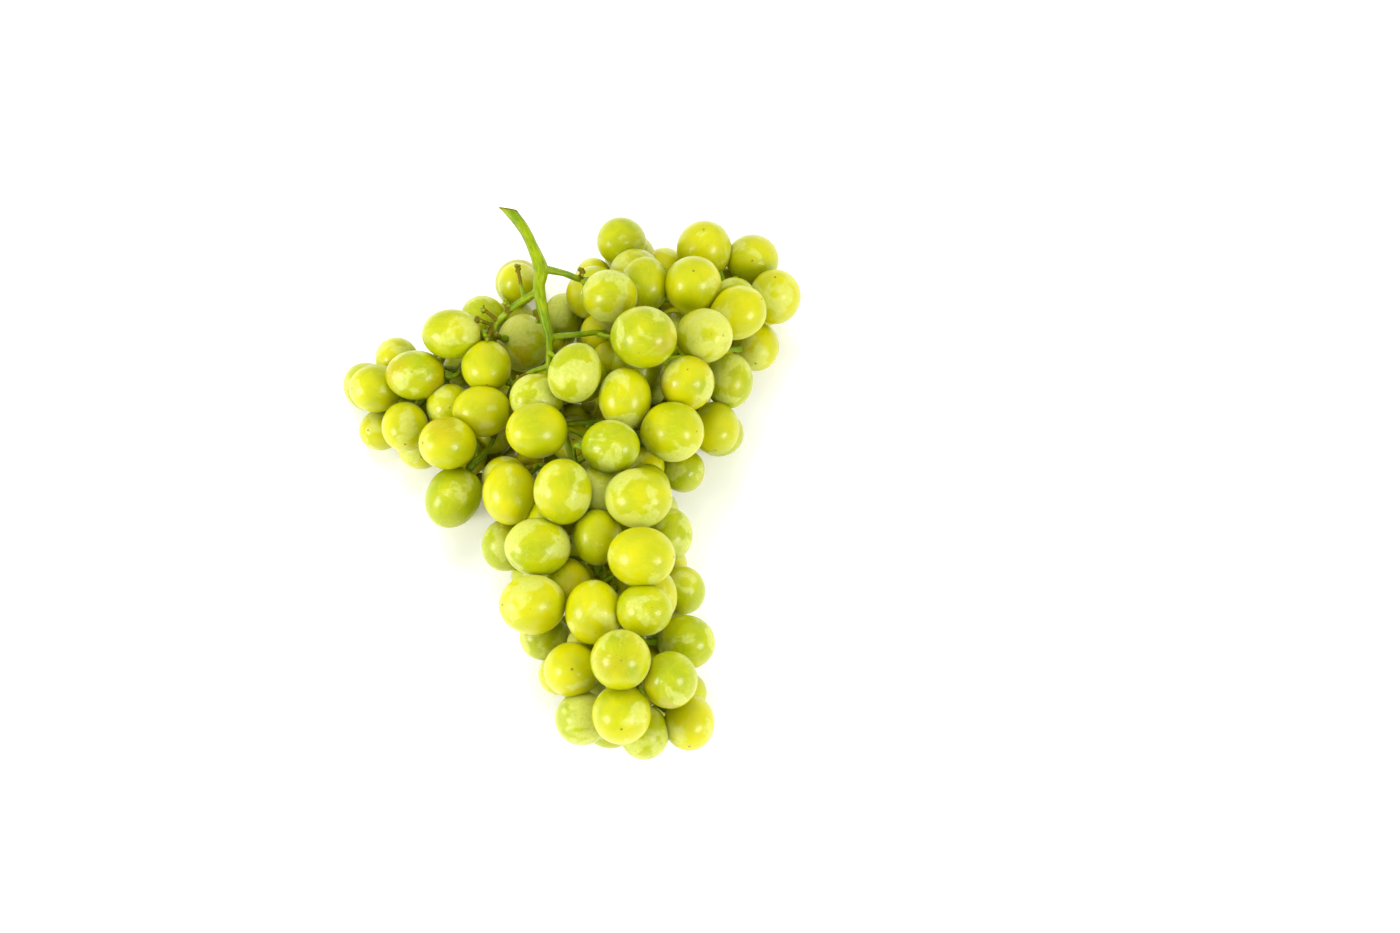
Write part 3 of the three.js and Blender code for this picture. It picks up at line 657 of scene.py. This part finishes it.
def berry_arrays(index, rings, segments):
    """Return one settled berry's points in mm, its faces, and its skin coordinates in mm."""
    egg, faces = unit_egg(rings, segments, BERRY_DRAWS.normal(size=3 * UNEVEN_WAVES))
    skin = egg * [shorts[index], shorts[index], longs[index]]
    lean = Vector((0, 0, 1)).rotation_difference(Vector(axes[index])).to_matrix()
    points = skin @ np.array(lean).T + centres[index]
    points[:, 2] = np.maximum(points[:, 2], TABLE_GAP)
    return points, faces, skin


def mesh_piece(name, points, faces):
    """Return a smooth object made of points in settled mm and faces."""
    mesh = bpy.data.meshes.new(name)
    mesh.from_pydata(to_world(points).tolist(), [], faces)
    mesh.polygons.foreach_set("use_smooth", [True] * len(mesh.polygons))
    mesh.update()
    piece = bpy.data.objects.new(name, mesh)
    bpy.context.collection.objects.link(piece)
    return piece


def joined(shapes):
    """Return the points and faces of several shapes as one."""
    points, faces, count = [], [], 0
    for own_points, own_faces in shapes:
        points.append(own_points)
        faces += [tuple(corner + count for corner in face) for face in own_faces]
        count += len(own_points)
    return np.concatenate(points), faces


def note_on_points(piece, name, values):
    """Store one number or one vector for every point of a piece."""
    values = np.asarray(values, dtype=np.float32)
    kind = "FLOAT_VECTOR" if values.ndim == 2 else "FLOAT"
    attribute = piece.data.attributes.new(name, kind, "POINT")
    attribute.data.foreach_set("vector" if values.ndim == 2 else "value", values.ravel())


print("berries stay above the table by, mm:", TABLE_GAP)

# %% Make the berries, each that shows as a piece of its own
def berry_piece(name, indices, rings, segments):
    """Return one object that holds the given berries."""
    shapes = []
    notes = {"skin_mm": [], "berry_draw": [], "to_scar": [], "to_stem": []}
    for index in indices:
        points, faces, skin = berry_arrays(index, rings, segments)
        shapes.append((points, faces))
        notes["skin_mm"].append(skin)
        notes["berry_draw"].append(np.tile(BERRY_DRAWS.random(3), (len(points), 1)))
        notes["to_scar"].append(np.linalg.norm(skin - skin[0], axis=1))
        notes["to_stem"].append(np.linalg.norm(skin - skin[-1], axis=1))
    piece = mesh_piece(name, *joined(shapes))
    for note, values in notes.items():
        note_on_points(piece, note, np.concatenate(values))
    return piece


berry_pieces = []
for lobe_index, lobe in enumerate(LOBES):
    in_lobe = lobes == lobe_index
    for number, index in enumerate(np.flatnonzero(in_lobe & seen), start=1):
        piece = berry_piece(f"berry_{lobe}_{number:02d}", [index], BERRY_RINGS, BERRY_SEGMENTS)
        berry_pieces.append((piece, lobe))
    inner = np.flatnonzero(in_lobe & ~seen)
    piece = berry_piece(f"inner_berries_{lobe}", inner, INNER_RINGS, INNER_SEGMENTS)
    berry_pieces.append((piece, lobe))
print("berry pieces:", len(berry_pieces))

# %% [markdown]
# ## The stalk
# The stalk of a bunch is one woody shoot that branches again and again. It is swollen
# wherever a twig leaves it and wherever a twig meets its berry. Curves with a round bevel
# would give clean tubes that only cross each other, so we make tapered tubes and small
# swellings as meshes, and then remesh them together: the voxels melt every joint into a
# smooth fork, as in growing wood.

# %% Tapered tubes with faint ribs, as grown wood has
TUBE_SIDES = 20
TUBE_STEP = 0.7
RIB_COUNT = 5
RIB_SHARE = 0.05
RIB_TWIST = 0.05
LUMP_SHARE = 0.025
LUMP_WAVES = (0.9, 0.37)
NEVER_ALONG = [0.3, 0.2, 1]
SWELLING_SPLITS = 2
grain_lines = []


def smooth_line(rows, step):
    """Return points and radii on a Catmull-Rom line through rows of x, y, z, radius."""
    rows = np.asarray(rows, dtype=float)
    padded = np.vstack([2 * rows[0] - rows[1], rows, 2 * rows[-1] - rows[-2]])
    line = []
    for before, start, end, after in zip(padded, padded[1:], padded[2:], padded[3:]):
        count = max(2, round(float(np.linalg.norm(end[:3] - start[:3])) / step))
        for share in np.arange(count) / count:
            line.append(
                0.5 * (2 * start + (end - before) * share
                       + (2 * before - 5 * start + 4 * end - after) * share**2
                       + (3 * start - before - 3 * end + after) * share**3)
            )
    line.append(rows[-1])
    line = np.array(line)
    return line[:, :3], line[:, 3]


def tube(rows):
    """Return the points and faces of a closed tapered tube through rows of x, y, z, radius."""
    middles, radii = smooth_line(rows, TUBE_STEP)
    along = np.gradient(middles, axis=0)
    side = unit(np.cross(along[0], NEVER_ALONG))
    turn = np.arange(TUBE_SIDES) * 2 * math.pi / TUBE_SIDES
    run = 0
    points = []
    for k, (middle, direction, radius) in enumerate(zip(middles, along, radii)):
        direction = unit(direction)
        side = unit(side - direction * (side @ direction))
        other = np.cross(direction, side)
        run += np.linalg.norm(middle - middles[k - 1]) if k else 0
        grain_lines.append((middle, side, other, direction, run))
        quick = math.sin(run * LUMP_WAVES[0] + middles[0][0])
        lump = 1 + LUMP_SHARE * quick * math.sin(run * LUMP_WAVES[1] + middles[0][1])
        for angle in turn:
            reach = radius * lump * (1 + RIB_SHARE * math.cos(RIB_COUNT * angle + run * RIB_TWIST))
            points.append(middle + reach * (side * math.cos(angle) + other * math.sin(angle)))
    faces = []
    for ring in range(len(middles) - 1):
        for k in range(TUBE_SIDES):
            after = (k + 1) % TUBE_SIDES
            first, second = ring * TUBE_SIDES, (ring + 1) * TUBE_SIDES
            faces.append((first + k, first + after, second + after, second + k))
    faces.append(tuple(reversed(range(TUBE_SIDES))))
    faces.append(tuple(range(len(points) - TUBE_SIDES, len(points))))
    return np.array(points), faces


def swelling(middle, radius):
    """Return the points and faces of a small ball."""
    ball = bmesh.new()
    bmesh.ops.create_icosphere(ball, subdivisions=SWELLING_SPLITS, radius=radius)
    points = np.array([list(vertex.co) for vertex in ball.verts]) + middle
    faces = [tuple(vertex.index for vertex in face.verts) for face in ball.faces]
    ball.free()
    return points, faces


print("faces of a swelling:", len(swelling(np.zeros(3), 1)[1]))

# %% Put the stalk together
TWIG_FOOT = 1.5
TWIG_WAIST = 0.9
WAIST_SHARE = 0.4
BUTTON_RADIUS = 1.45
BUTTON_END = 0.8
BUTTON_START_MM = 0.2
BUTTON_DEPTH_MM = 1.2
FORK_SWELLING = 0.75
STUB_RADIUS = 0.85
STUB_SMALLEST = 0.5
STUB_SPREAD = 1.3
STUB_LUMPS = 9
DRY_SHARES = (0.25, 0.5, 0.75)
STUB_DRAWS = np.random.default_rng(5)
CUT_ALLOWANCE = 5


def seen_rows(rows):
    """Return rows of the stalk as x, y, z, radius."""
    return [[*point_seen(*row[:3]), row[3] / 2] for row in rows]


def twig_rows(index, path):
    """Return the rows of one twig, which swells into a button where it carries its berry."""
    radius = TWIG_WIDTH / 2
    rows = [[*path[0], radius * TWIG_FOOT]]
    if len(path) == 3:
        waist = path[0] * (1 - WAIST_SHARE) + path[1] * WAIST_SHARE
        rows += [[*waist, radius * TWIG_WAIST], [*path[1], radius]]
    else:
        rows.append([*(path[0] * 0.5 + path[1] * 0.5), radius * TWIG_WAIST])
    inwards = unit(centres[index] - path[-1])
    rows.append([*(path[-1] + inwards * BUTTON_START_MM), BUTTON_RADIUS])
    rows.append([*(path[-1] + inwards * BUTTON_DEPTH_MM), BUTTON_RADIUS * BUTTON_END])
    return rows


# The main stem starts a little beyond its end, because it is cut on the slant further down.
main_rows = np.array(seen_rows(MAIN_STEM))
main_rows[0, :3] += unit(main_rows[0, :3] - main_rows[1, :3]) * CUT_ALLOWANCE
stalk_parts = [tube(main_rows)]
stalk_parts += [tube(seen_rows(rows)) for rows in SIDE_BRANCHES]
stub_ends, dry_lengths = [], []
for rows in DRY_TWIGS:
    line = seen_rows(rows)
    line[-1][3] = line[-2][3]
    foot, end = np.array(line[-2][:3]), np.array(line[-1][:3])
    stub_ends.append(end)
    dry_lengths += [foot * (1 - share) + end * share for share in DRY_SHARES]
    stalk_parts.append(tube(line))
    for _ in range(STUB_LUMPS):
        lump_middle = end + STUB_DRAWS.normal(size=3) * STUB_SPREAD / 2
        share = STUB_SMALLEST + (1 - STUB_SMALLEST) * STUB_DRAWS.random()
        stalk_parts.append(swelling(lump_middle, STUB_RADIUS * share))
for index, path in twigs.items():
    stalk_parts.append(tube(twig_rows(index, path)))
    stalk_parts.append(swelling(path[0], TWIG_WIDTH * FORK_SWELLING))

stalk = mesh_piece("stalk_with_twigs", *joined(stalk_parts))
print("tubes and swellings of the stalk:", len(stalk_parts))

# %% Melt the joints
STALK_VOXEL = 0.3
KEPT_FACES = 0.4
SOFTENING = 0.5
remesh = stalk.modifiers.new("melt the joints", "REMESH")
remesh.mode = "VOXEL"
remesh.voxel_size = STALK_VOXEL * MM
remesh.use_smooth_shade = True
smooth = stalk.modifiers.new("soften", "SMOOTH")
smooth.factor = SOFTENING
smooth.iterations = 2
fewer = stalk.modifiers.new("fewer faces", "DECIMATE")
fewer.ratio = KEPT_FACES

# What the modifiers make of the stalk becomes its mesh.
graph = bpy.context.evaluated_depsgraph_get()
finished = bpy.data.meshes.new_from_object(stalk.evaluated_get(graph))
stalk.modifiers.clear()
stalk.data = finished
print("stalk faces:", len(stalk.data.polygons))

# %% Cut the stem on the slant
CUT_LEAN = 0.17
CUT_REACH = 12
cut_end = point_seen(*MAIN_STEM[0][:3])
cut_facing = unit(UP + CUT_LEAN * ACROSS)
cut_mesh = bmesh.new()
cut_mesh.from_mesh(stalk.data)
near_cut = [
    vertex for vertex in cut_mesh.verts
    if np.linalg.norm(np.array(vertex.co) / MM - SHIFT - cut_end) < CUT_REACH
]
near_faces = {face for vertex in near_cut for face in vertex.link_faces}
near_edges = {edge for face in near_faces for edge in face.edges}
near_verts = {vertex for face in near_faces for vertex in face.verts}
cut = bmesh.ops.bisect_plane(
    cut_mesh, geom=[*near_verts, *near_edges, *near_faces], plane_co=to_world(cut_end),
    plane_no=cut_facing, clear_outer=True)
rim = [item for item in cut["geom_cut"] if isinstance(item, bmesh.types.BMEdge)]
bmesh.ops.holes_fill(cut_mesh, edges=rim, sides=0)
cut_mesh.to_mesh(stalk.data)
cut_mesh.free()
print("edges round the cut:", len(rim))

# %% Note the grain and where the stalk has dried, for its finish
DRY_REACH = 1.7
DRY_START = 1.3
DRY_ROOT_EVERY = 5
CUT_DRY_REACH = 8
BUTTON_DRY_REACH = 1.6
BUTTON_DRY_START = 1.1
BUTTON_DRY_MOST = 0.7
tree_of_lines = KDTree(len(grain_lines))
for number, line in enumerate(grain_lines):
    tree_of_lines.insert(line[0], number)
tree_of_lines.balance()
stalk_points = np.array([list(vertex.co) for vertex in stalk.data.vertices]) / MM - SHIFT
grain = []
for point in stalk_points:
    middle, side, other, direction, run = grain_lines[tree_of_lines.find(point)[1]]
    off = point - middle
    grain.append([off @ side, off @ other, run + off @ direction])
note_on_points(stalk, "grain_mm", grain)
dry_roots = [path[0] for path in list(twigs.values())[::DRY_ROOT_EVERY]]
dryness = np.zeros(len(stalk_points))
for point in stub_ends + dry_lengths + dry_roots:
    distance = np.linalg.norm(stalk_points - point, axis=1)
    dryness = np.maximum(dryness, np.clip(DRY_START - distance / DRY_REACH, 0, 1))
above_cut = (stalk_points - cut_end) @ cut_facing
at_cut = (np.linalg.norm(stalk_points - cut_end, axis=1) < CUT_DRY_REACH) & (above_cut > -1)
dryness = np.where(at_cut, np.maximum(dryness, 1 + above_cut), dryness)
for path in twigs.values():
    distance = np.linalg.norm(stalk_points - path[-1], axis=1)
    near_button = np.clip(BUTTON_DRY_START - distance / BUTTON_DRY_REACH, 0, BUTTON_DRY_MOST)
    dryness = np.maximum(dryness, near_button)
note_on_points(stalk, "dryness", dryness)
print("dry share of the stalk:", round(float((dryness > 0.5).mean()), 3))

# %% [markdown]
# ## Finishes
# Colours are given as sRGB hex, as they would be picked from a swatch, and one function turns
# them into the linear values that Blender mixes. One more function adds a node.

# %% Colours and nodes
def colour(hex_value):
    """Return a linear RGBA colour for an sRGB hex value."""
    channels = [int(hex_value[k:k + 2], 16) / 255 for k in (1, 3, 5)]
    return [c / 12.92 if c <= 0.04045 else ((c + 0.055) / 1.055) ** 2.4 for c in channels] + [1]


def fill_inputs(node, inputs):
    """Set or link some inputs of a node."""
    for key, value in inputs.items():
        if isinstance(value, bpy.types.NodeSocket):
            node.id_data.links.new(value, node.inputs[key])
        else:
            node.inputs[key].default_value = value


def add_node(tree, kind, inputs=None, **settings):
    """Add a node with its settings, and set or link its inputs."""
    node = tree.nodes.new(kind)
    for name, value in settings.items():
        setattr(node, name, value)
    fill_inputs(node, inputs or {})
    return node


def new_finish(name):
    """Return a new material, its node tree and its empty surface shader."""
    finish = bpy.data.materials.new(name)
    finish.use_nodes = True
    tree = finish.node_tree
    return finish, tree, tree.nodes["Principled BSDF"]


print("mid grey #808080 in linear light:", round(colour("#808080")[0], 3))

# %% [markdown]
# ### Grape skin
# The skin is a thin waxy film over clear, yellow-green flesh. Light goes in and comes out a
# few millimetres further on, which is subsurface scattering. The wax on it, called bloom, is
# rubbed off in places, so paler and duller patches with torn edges lie beside clean glossy
# skin. Faint veins run from twig to scar under the skin. The index of refraction of the wax
# is about 1.44.

# %% Skin: the places a finish is drawn by, and the flesh under it
skin, tree, shader = new_finish("waxy_grape_skin")


def noted(name, output="Fac"):
    """Read what was stored for every point under a name."""
    return add_node(tree, "ShaderNodeAttribute", attribute_name=name).outputs[output]


place = noted("skin_mm", "Vector")
draws = noted("berry_draw", "Vector")
to_scar = noted("to_scar")
to_stem = noted("to_stem")
draw_parts = add_node(tree, "ShaderNodeSeparateXYZ", {"Vector": draws})
ripeness, bloom_draw, blush_draw = draw_parts.outputs
FAR_APART_MM = 90


def math_of(operation, *values):
    """Combine up to three numbers by one operation."""
    return add_node(tree, "ShaderNodeMath", dict(enumerate(values)), operation=operation).outputs[0]


def vector_of(operation, first, second):
    """Combine two vectors by one operation."""
    return add_node(tree, "ShaderNodeVectorMath", {0: first, 1: second}, operation=operation).outputs[0]


# Each berry reads the patterns at a place of its own, so no two berries look alike.
moved_away = vector_of("MULTIPLY", draws, [FAR_APART_MM] * 3)
own_place = vector_of("ADD", place, moved_away)


def noise(size_mm, where=own_place, **inputs):
    """Add a noise whose blobs are about so many millimetres wide."""
    named = {name.title(): value for name, value in inputs.items()}
    values = {"Vector": where, "Scale": 1 / size_mm, **named}
    return add_node(tree, "ShaderNodeTexNoise", values).outputs["Fac"]


def ramp(value, low, high, at_low, at_high):
    """Add a soft step from one value to another."""
    ends = {"From Min": low, "From Max": high, "To Min": at_low, "To Max": at_high}
    return add_node(tree, "ShaderNodeMapRange", {"Value": value, **ends},
                    interpolation_type="SMOOTHSTEP").outputs["Result"]


def blend(share, first, second):
    """Mix two colours."""
    values = {"Factor": share, "A": first, "B": second}
    return add_node(tree, "ShaderNodeMix", values, data_type="RGBA").outputs["Result"]


def times(first, second):
    """Multiply two numbers."""
    return math_of("MULTIPLY", first, second)


def times_plus(first, second, third):
    """Multiply two numbers and add a third."""
    return math_of("MULTIPLY_ADD", first, second, third)


RIPE_MM = 11
MOTTLE_MM = 3.2
BLUSH_MM = 15
ripe = times_plus(noise(RIPE_MM, detail=2), 1.6, times_plus(ripeness, 0.7, -0.65))
flesh = blend(ramp(ripe, 0, 1, 0, 1), colour("#9CA900"), colour("#C6C200"))
mottle = noise(MOTTLE_MM, detail=3)
flesh = blend(ramp(mottle, 0.35, 0.7, 0, 0.35), flesh, colour("#B4BC02"))
blush = times(ramp(noise(BLUSH_MM, detail=1), 0.5, 0.7, 0, 0.3), ramp(blush_draw, 0.62, 0.8, 0, 1))
flesh = blend(blush, flesh, colour("#B88A00"))
print("nodes that draw the flesh:", len(tree.nodes))

# %% Veins: pale lines along the berry, where a noise stretched lengthways passes its middle
VEINS_TO_A_RADIUS = 5
VEIN_STRETCH = 0.045
VEIN_WIDTH = 0.035
parts = add_node(tree, "ShaderNodeSeparateXYZ", {"Vector": place})
around = math_of("ARCTAN2", parts.outputs["Y"], parts.outputs["X"])
vein_place = add_node(tree, "ShaderNodeCombineXYZ", {
    "X": math_of("COSINE", around),
    "Y": math_of("SINE", around),
    "Z": times(parts.outputs["Z"], VEIN_STRETCH),
}).outputs[0]
vein_noise = noise(1 / VEINS_TO_A_RADIUS, vector_of("ADD", vein_place, moved_away), detail=1)
off_vein = math_of("ABSOLUTE", times_plus(vein_noise, 1, -0.5))
veined = blend(ramp(off_vein, 0, VEIN_WIDTH, 0.3, 0), flesh, colour("#C6CA30"))
print("veins round a berry, about:", round(2 * math.pi * VEINS_TO_A_RADIUS))

# %% Bloom: patches of dull pale wax with torn edges, more of it on some berries than on others
PATCH_MM = 10
FINE_MM = 1.1
fine = noise(FINE_MM, detail=4, roughness=0.6)
torn = noise(PATCH_MM, detail=6, roughness=0.5, distortion=0.35)
bloom_level = times_plus(bloom_draw, 0.16, torn)
patch = ramp(bloom_level, 0.61, 0.67, 0, 1)
bloom = times(patch, ramp(fine, 0.3, 0.7, 0.5, 0.95))
waxed = blend(times(bloom, 0.74), veined, colour("#CAD070"))
print("bloom lies in patches of about, mm:", PATCH_MM)

# %% Brown marks: the flower's scar, a few rubbed specks, and the ring where the twig is set in
SCAR_MM = (0.6, 0.9)
SPECK_MM = 0.9
TWIG_RING_MM = (1.2, 3.2)
scar_shape = ramp(times_plus(fine, 0.7, to_scar), *SCAR_MM, 0.8, 0)
scarred = blend(times(scar_shape, ramp(ripeness, 0.3, 0.7, 0.1, 1)), waxed, colour("#7A5420"))
speck_shape = ramp(noise(SPECK_MM, detail=1), 0.73, 0.78, 0, 0.6)
specked = blend(times(speck_shape, ramp(blush_draw, 0.3, 0.5, 0, 1)), scarred, colour("#8A6A1C"))
skin_colour = blend(ramp(to_stem, *TWIG_RING_MM, 0.7, 0), specked, colour("#8E8A1E"))
print("nodes that draw the skin's colour:", len(tree.nodes))

# %% Gloss: clean wax is smooth, bloom is dull
WAX_IOR = 1.44
PORE_DEPTH_MM = 0.1
FLESH_DEPTH_MM = 7
pores = add_node(tree, "ShaderNodeBump",
                 {"Height": fine, "Strength": 0.1, "Distance": PORE_DEPTH_MM * MM})
fill_inputs(shader, {
    "Base Color": skin_colour,
    "Roughness": ramp(bloom, 0, 0.8, 0.32, 0.5),
    "Normal": pores.outputs["Normal"],
    "IOR": WAX_IOR,
    "Specular IOR Level": 0.35,
    "Coat Weight": 0.2,
    "Coat Roughness": 0.08,
    "Coat IOR": WAX_IOR,
    "Subsurface Weight": 0.75,
    "Subsurface Radius": (1.0, 0.92, 0.14),
    "Subsurface Scale": FLESH_DEPTH_MM * MM,
})
for piece, _ in berry_pieces:
    piece.data.materials.append(skin)
print("nodes of the skin in all:", len(tree.nodes))

# %% [markdown]
# ### Stalk bark
# Fresh grape wood is green, matt and slightly ribbed lengthways. It browns wherever it was
# cut, where a berry has dropped, and in small scars.

# %% Stalk bark
bark, tree, shader = new_finish("green_grape_bark")
BROAD_MM = 7
STREAK_MM = 0.6
STREAK_STRETCH = 0.16
GRAIN_MM = 0.9
RIB_DEPTH_MM = 0.25
grain_place = noted("grain_mm", "Vector")
dry = noted("dryness")
broad = noise(BROAD_MM, grain_place, detail=2)
streaks = noise(STREAK_MM, vector_of("MULTIPLY", grain_place, [1, 1, STREAK_STRETCH]), detail=3)
grain = noise(GRAIN_MM, grain_place, detail=4)
green = blend(ramp(broad, 0.35, 0.65, 0, 1), colour("#688600"), colour("#8EA000"))
green = blend(ramp(streaks, 0.4, 0.75, 0, 0.45), green, colour("#AAB614"))
green = blend(ramp(streaks, 0.45, 0.25, 0, 0.6), green, colour("#4A6206"))
green = blend(ramp(grain, 0.66, 0.72, 0, 0.7), green, colour("#6A5418"))
brown = blend(grain, colour("#282600"), colour("#968608"))
dry_mask = ramp(times_plus(grain, 0.9, dry), 0.8, 1.1, 0, 1)
rib_height = times_plus(streaks, 1, times(grain, times(dry_mask, 2)))
ribs = add_node(tree, "ShaderNodeBump",
                {"Height": rib_height, "Strength": 0.4, "Distance": RIB_DEPTH_MM * MM})
fill_inputs(shader, {
    "Base Color": blend(dry_mask, green, brown),
    "Roughness": ramp(dry_mask, 0, 1, 0.38, 0.75),
    "Normal": ribs.outputs["Normal"],
    "IOR": 1.45,
    "Specular IOR Level": 0.25,
    "Subsurface Weight": 0.15,
    "Subsurface Radius": (0.7, 1.0, 0.1),
    "Subsurface Scale": 1 * MM,
})
stalk.data.materials.clear()
stalk.data.materials.append(bark)
print("nodes that draw the bark:", len(tree.nodes))

# %% [markdown]
# ## Which solid a piece stands for
# The plain model has one solid for each lobe of berries and one for the stalk. Each piece made
# here takes the place of the solid that it lies in.

# %% Hang each piece on the root and hide the solid it takes the place of
for piece, lobe in berry_pieces:
    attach(piece, "root")
    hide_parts(f"berries_{lobe}")
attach(stalk, "root")
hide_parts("stalk")
print("pieces in all:", len(berry_pieces) + 1)

# %% [markdown]
# ## Floor, light and camera
# The bunch lies on a white sweep between two softboxes, one on each side, so each berry shows
# a small bright spot on its left and another on its right. White all round fills the shade.

# %% Floor
SHEET_SIZE = 6
FIBRES_ACROSS = 900
bpy.ops.mesh.primitive_plane_add(size=SHEET_SIZE)
floor = bpy.context.object
floor.name = "floor"
paper, tree, shader = new_finish("white_paper")
fibre = add_node(tree, "ShaderNodeTexNoise", {"Scale": FIBRES_ACROSS, "Detail": 2})
# The paper glows a little, as an overexposed sweep does in a photograph.
fill_inputs(shader, {
    "Base Color": blend(fibre.outputs["Fac"], colour("#F6F6F4"), colour("#FBFBFA")),
    "Roughness": 0.8,
    "Emission Color": (1, 1, 1, 1),
    "Emission Strength": 0.15,
})
floor.data.materials.append(paper)
print("sheet of paper, m across:", SHEET_SIZE)

# %% Lights
def softbox(name, place, aim, size, power):
    """Add a square light that faces a point, and return it."""
    data = bpy.data.lights.new(name, "AREA")
    data.shape = "SQUARE"
    data.size = size
    data.energy = power
    lamp = bpy.data.objects.new(name, data)
    lamp.location = place
    lamp.rotation_euler = (Vector(aim) - Vector(place)).to_track_quat("-Z", "Y").to_euler()
    bpy.context.collection.objects.link(lamp)
    return lamp


BUNCH_MIDDLE = (0, 0, 0.03)
ROOM_BRIGHTNESS = 0.66
softbox("left softbox", place=(-0.75, -0.34, 0.38), aim=BUNCH_MIDDLE, size=0.34, power=5.6)
softbox("right softbox", place=(0.64, -0.46, 0.47), aim=BUNCH_MIDDLE, size=0.34, power=4.6)
ceiling = softbox("white ceiling", place=(-0.12, 0.42, 1.0), aim=BUNCH_MIDDLE, size=0.6, power=6.5)
# The ceiling is matt and far off, so it lights the berries but leaves no sharp spot on them.
ceiling.visible_glossy = False

world = bpy.data.worlds.new("white room")
bpy.context.scene.world = world
world.use_nodes = True
fill_inputs(world.node_tree.nodes["Background"], {"Color": (1, 1, 1, 1), "Strength": ROOM_BRIGHTNESS})
bpy.context.scene.view_settings.view_transform = "Standard"

# %% Camera
LENS_MM = 60
SENSOR_MM = 36
NEAREST_M = 0.01
camera_data = bpy.data.cameras.new("camera")
camera_data.lens = LENS_MM
camera_data.sensor_width = SENSOR_MM
camera_data.clip_start = NEAREST_M
camera = bpy.data.objects.new("camera", camera_data)
facing = Matrix((ACROSS, UP, TOWARDS_EYE)).transposed().to_4x4()
camera.matrix_world = Matrix.Translation(to_world(EYE)) @ facing
bpy.context.collection.objects.link(camera)
bpy.context.scene.camera = camera
print("camera stands at, m:", [round(value, 3) for value in camera.matrix_world.translation])
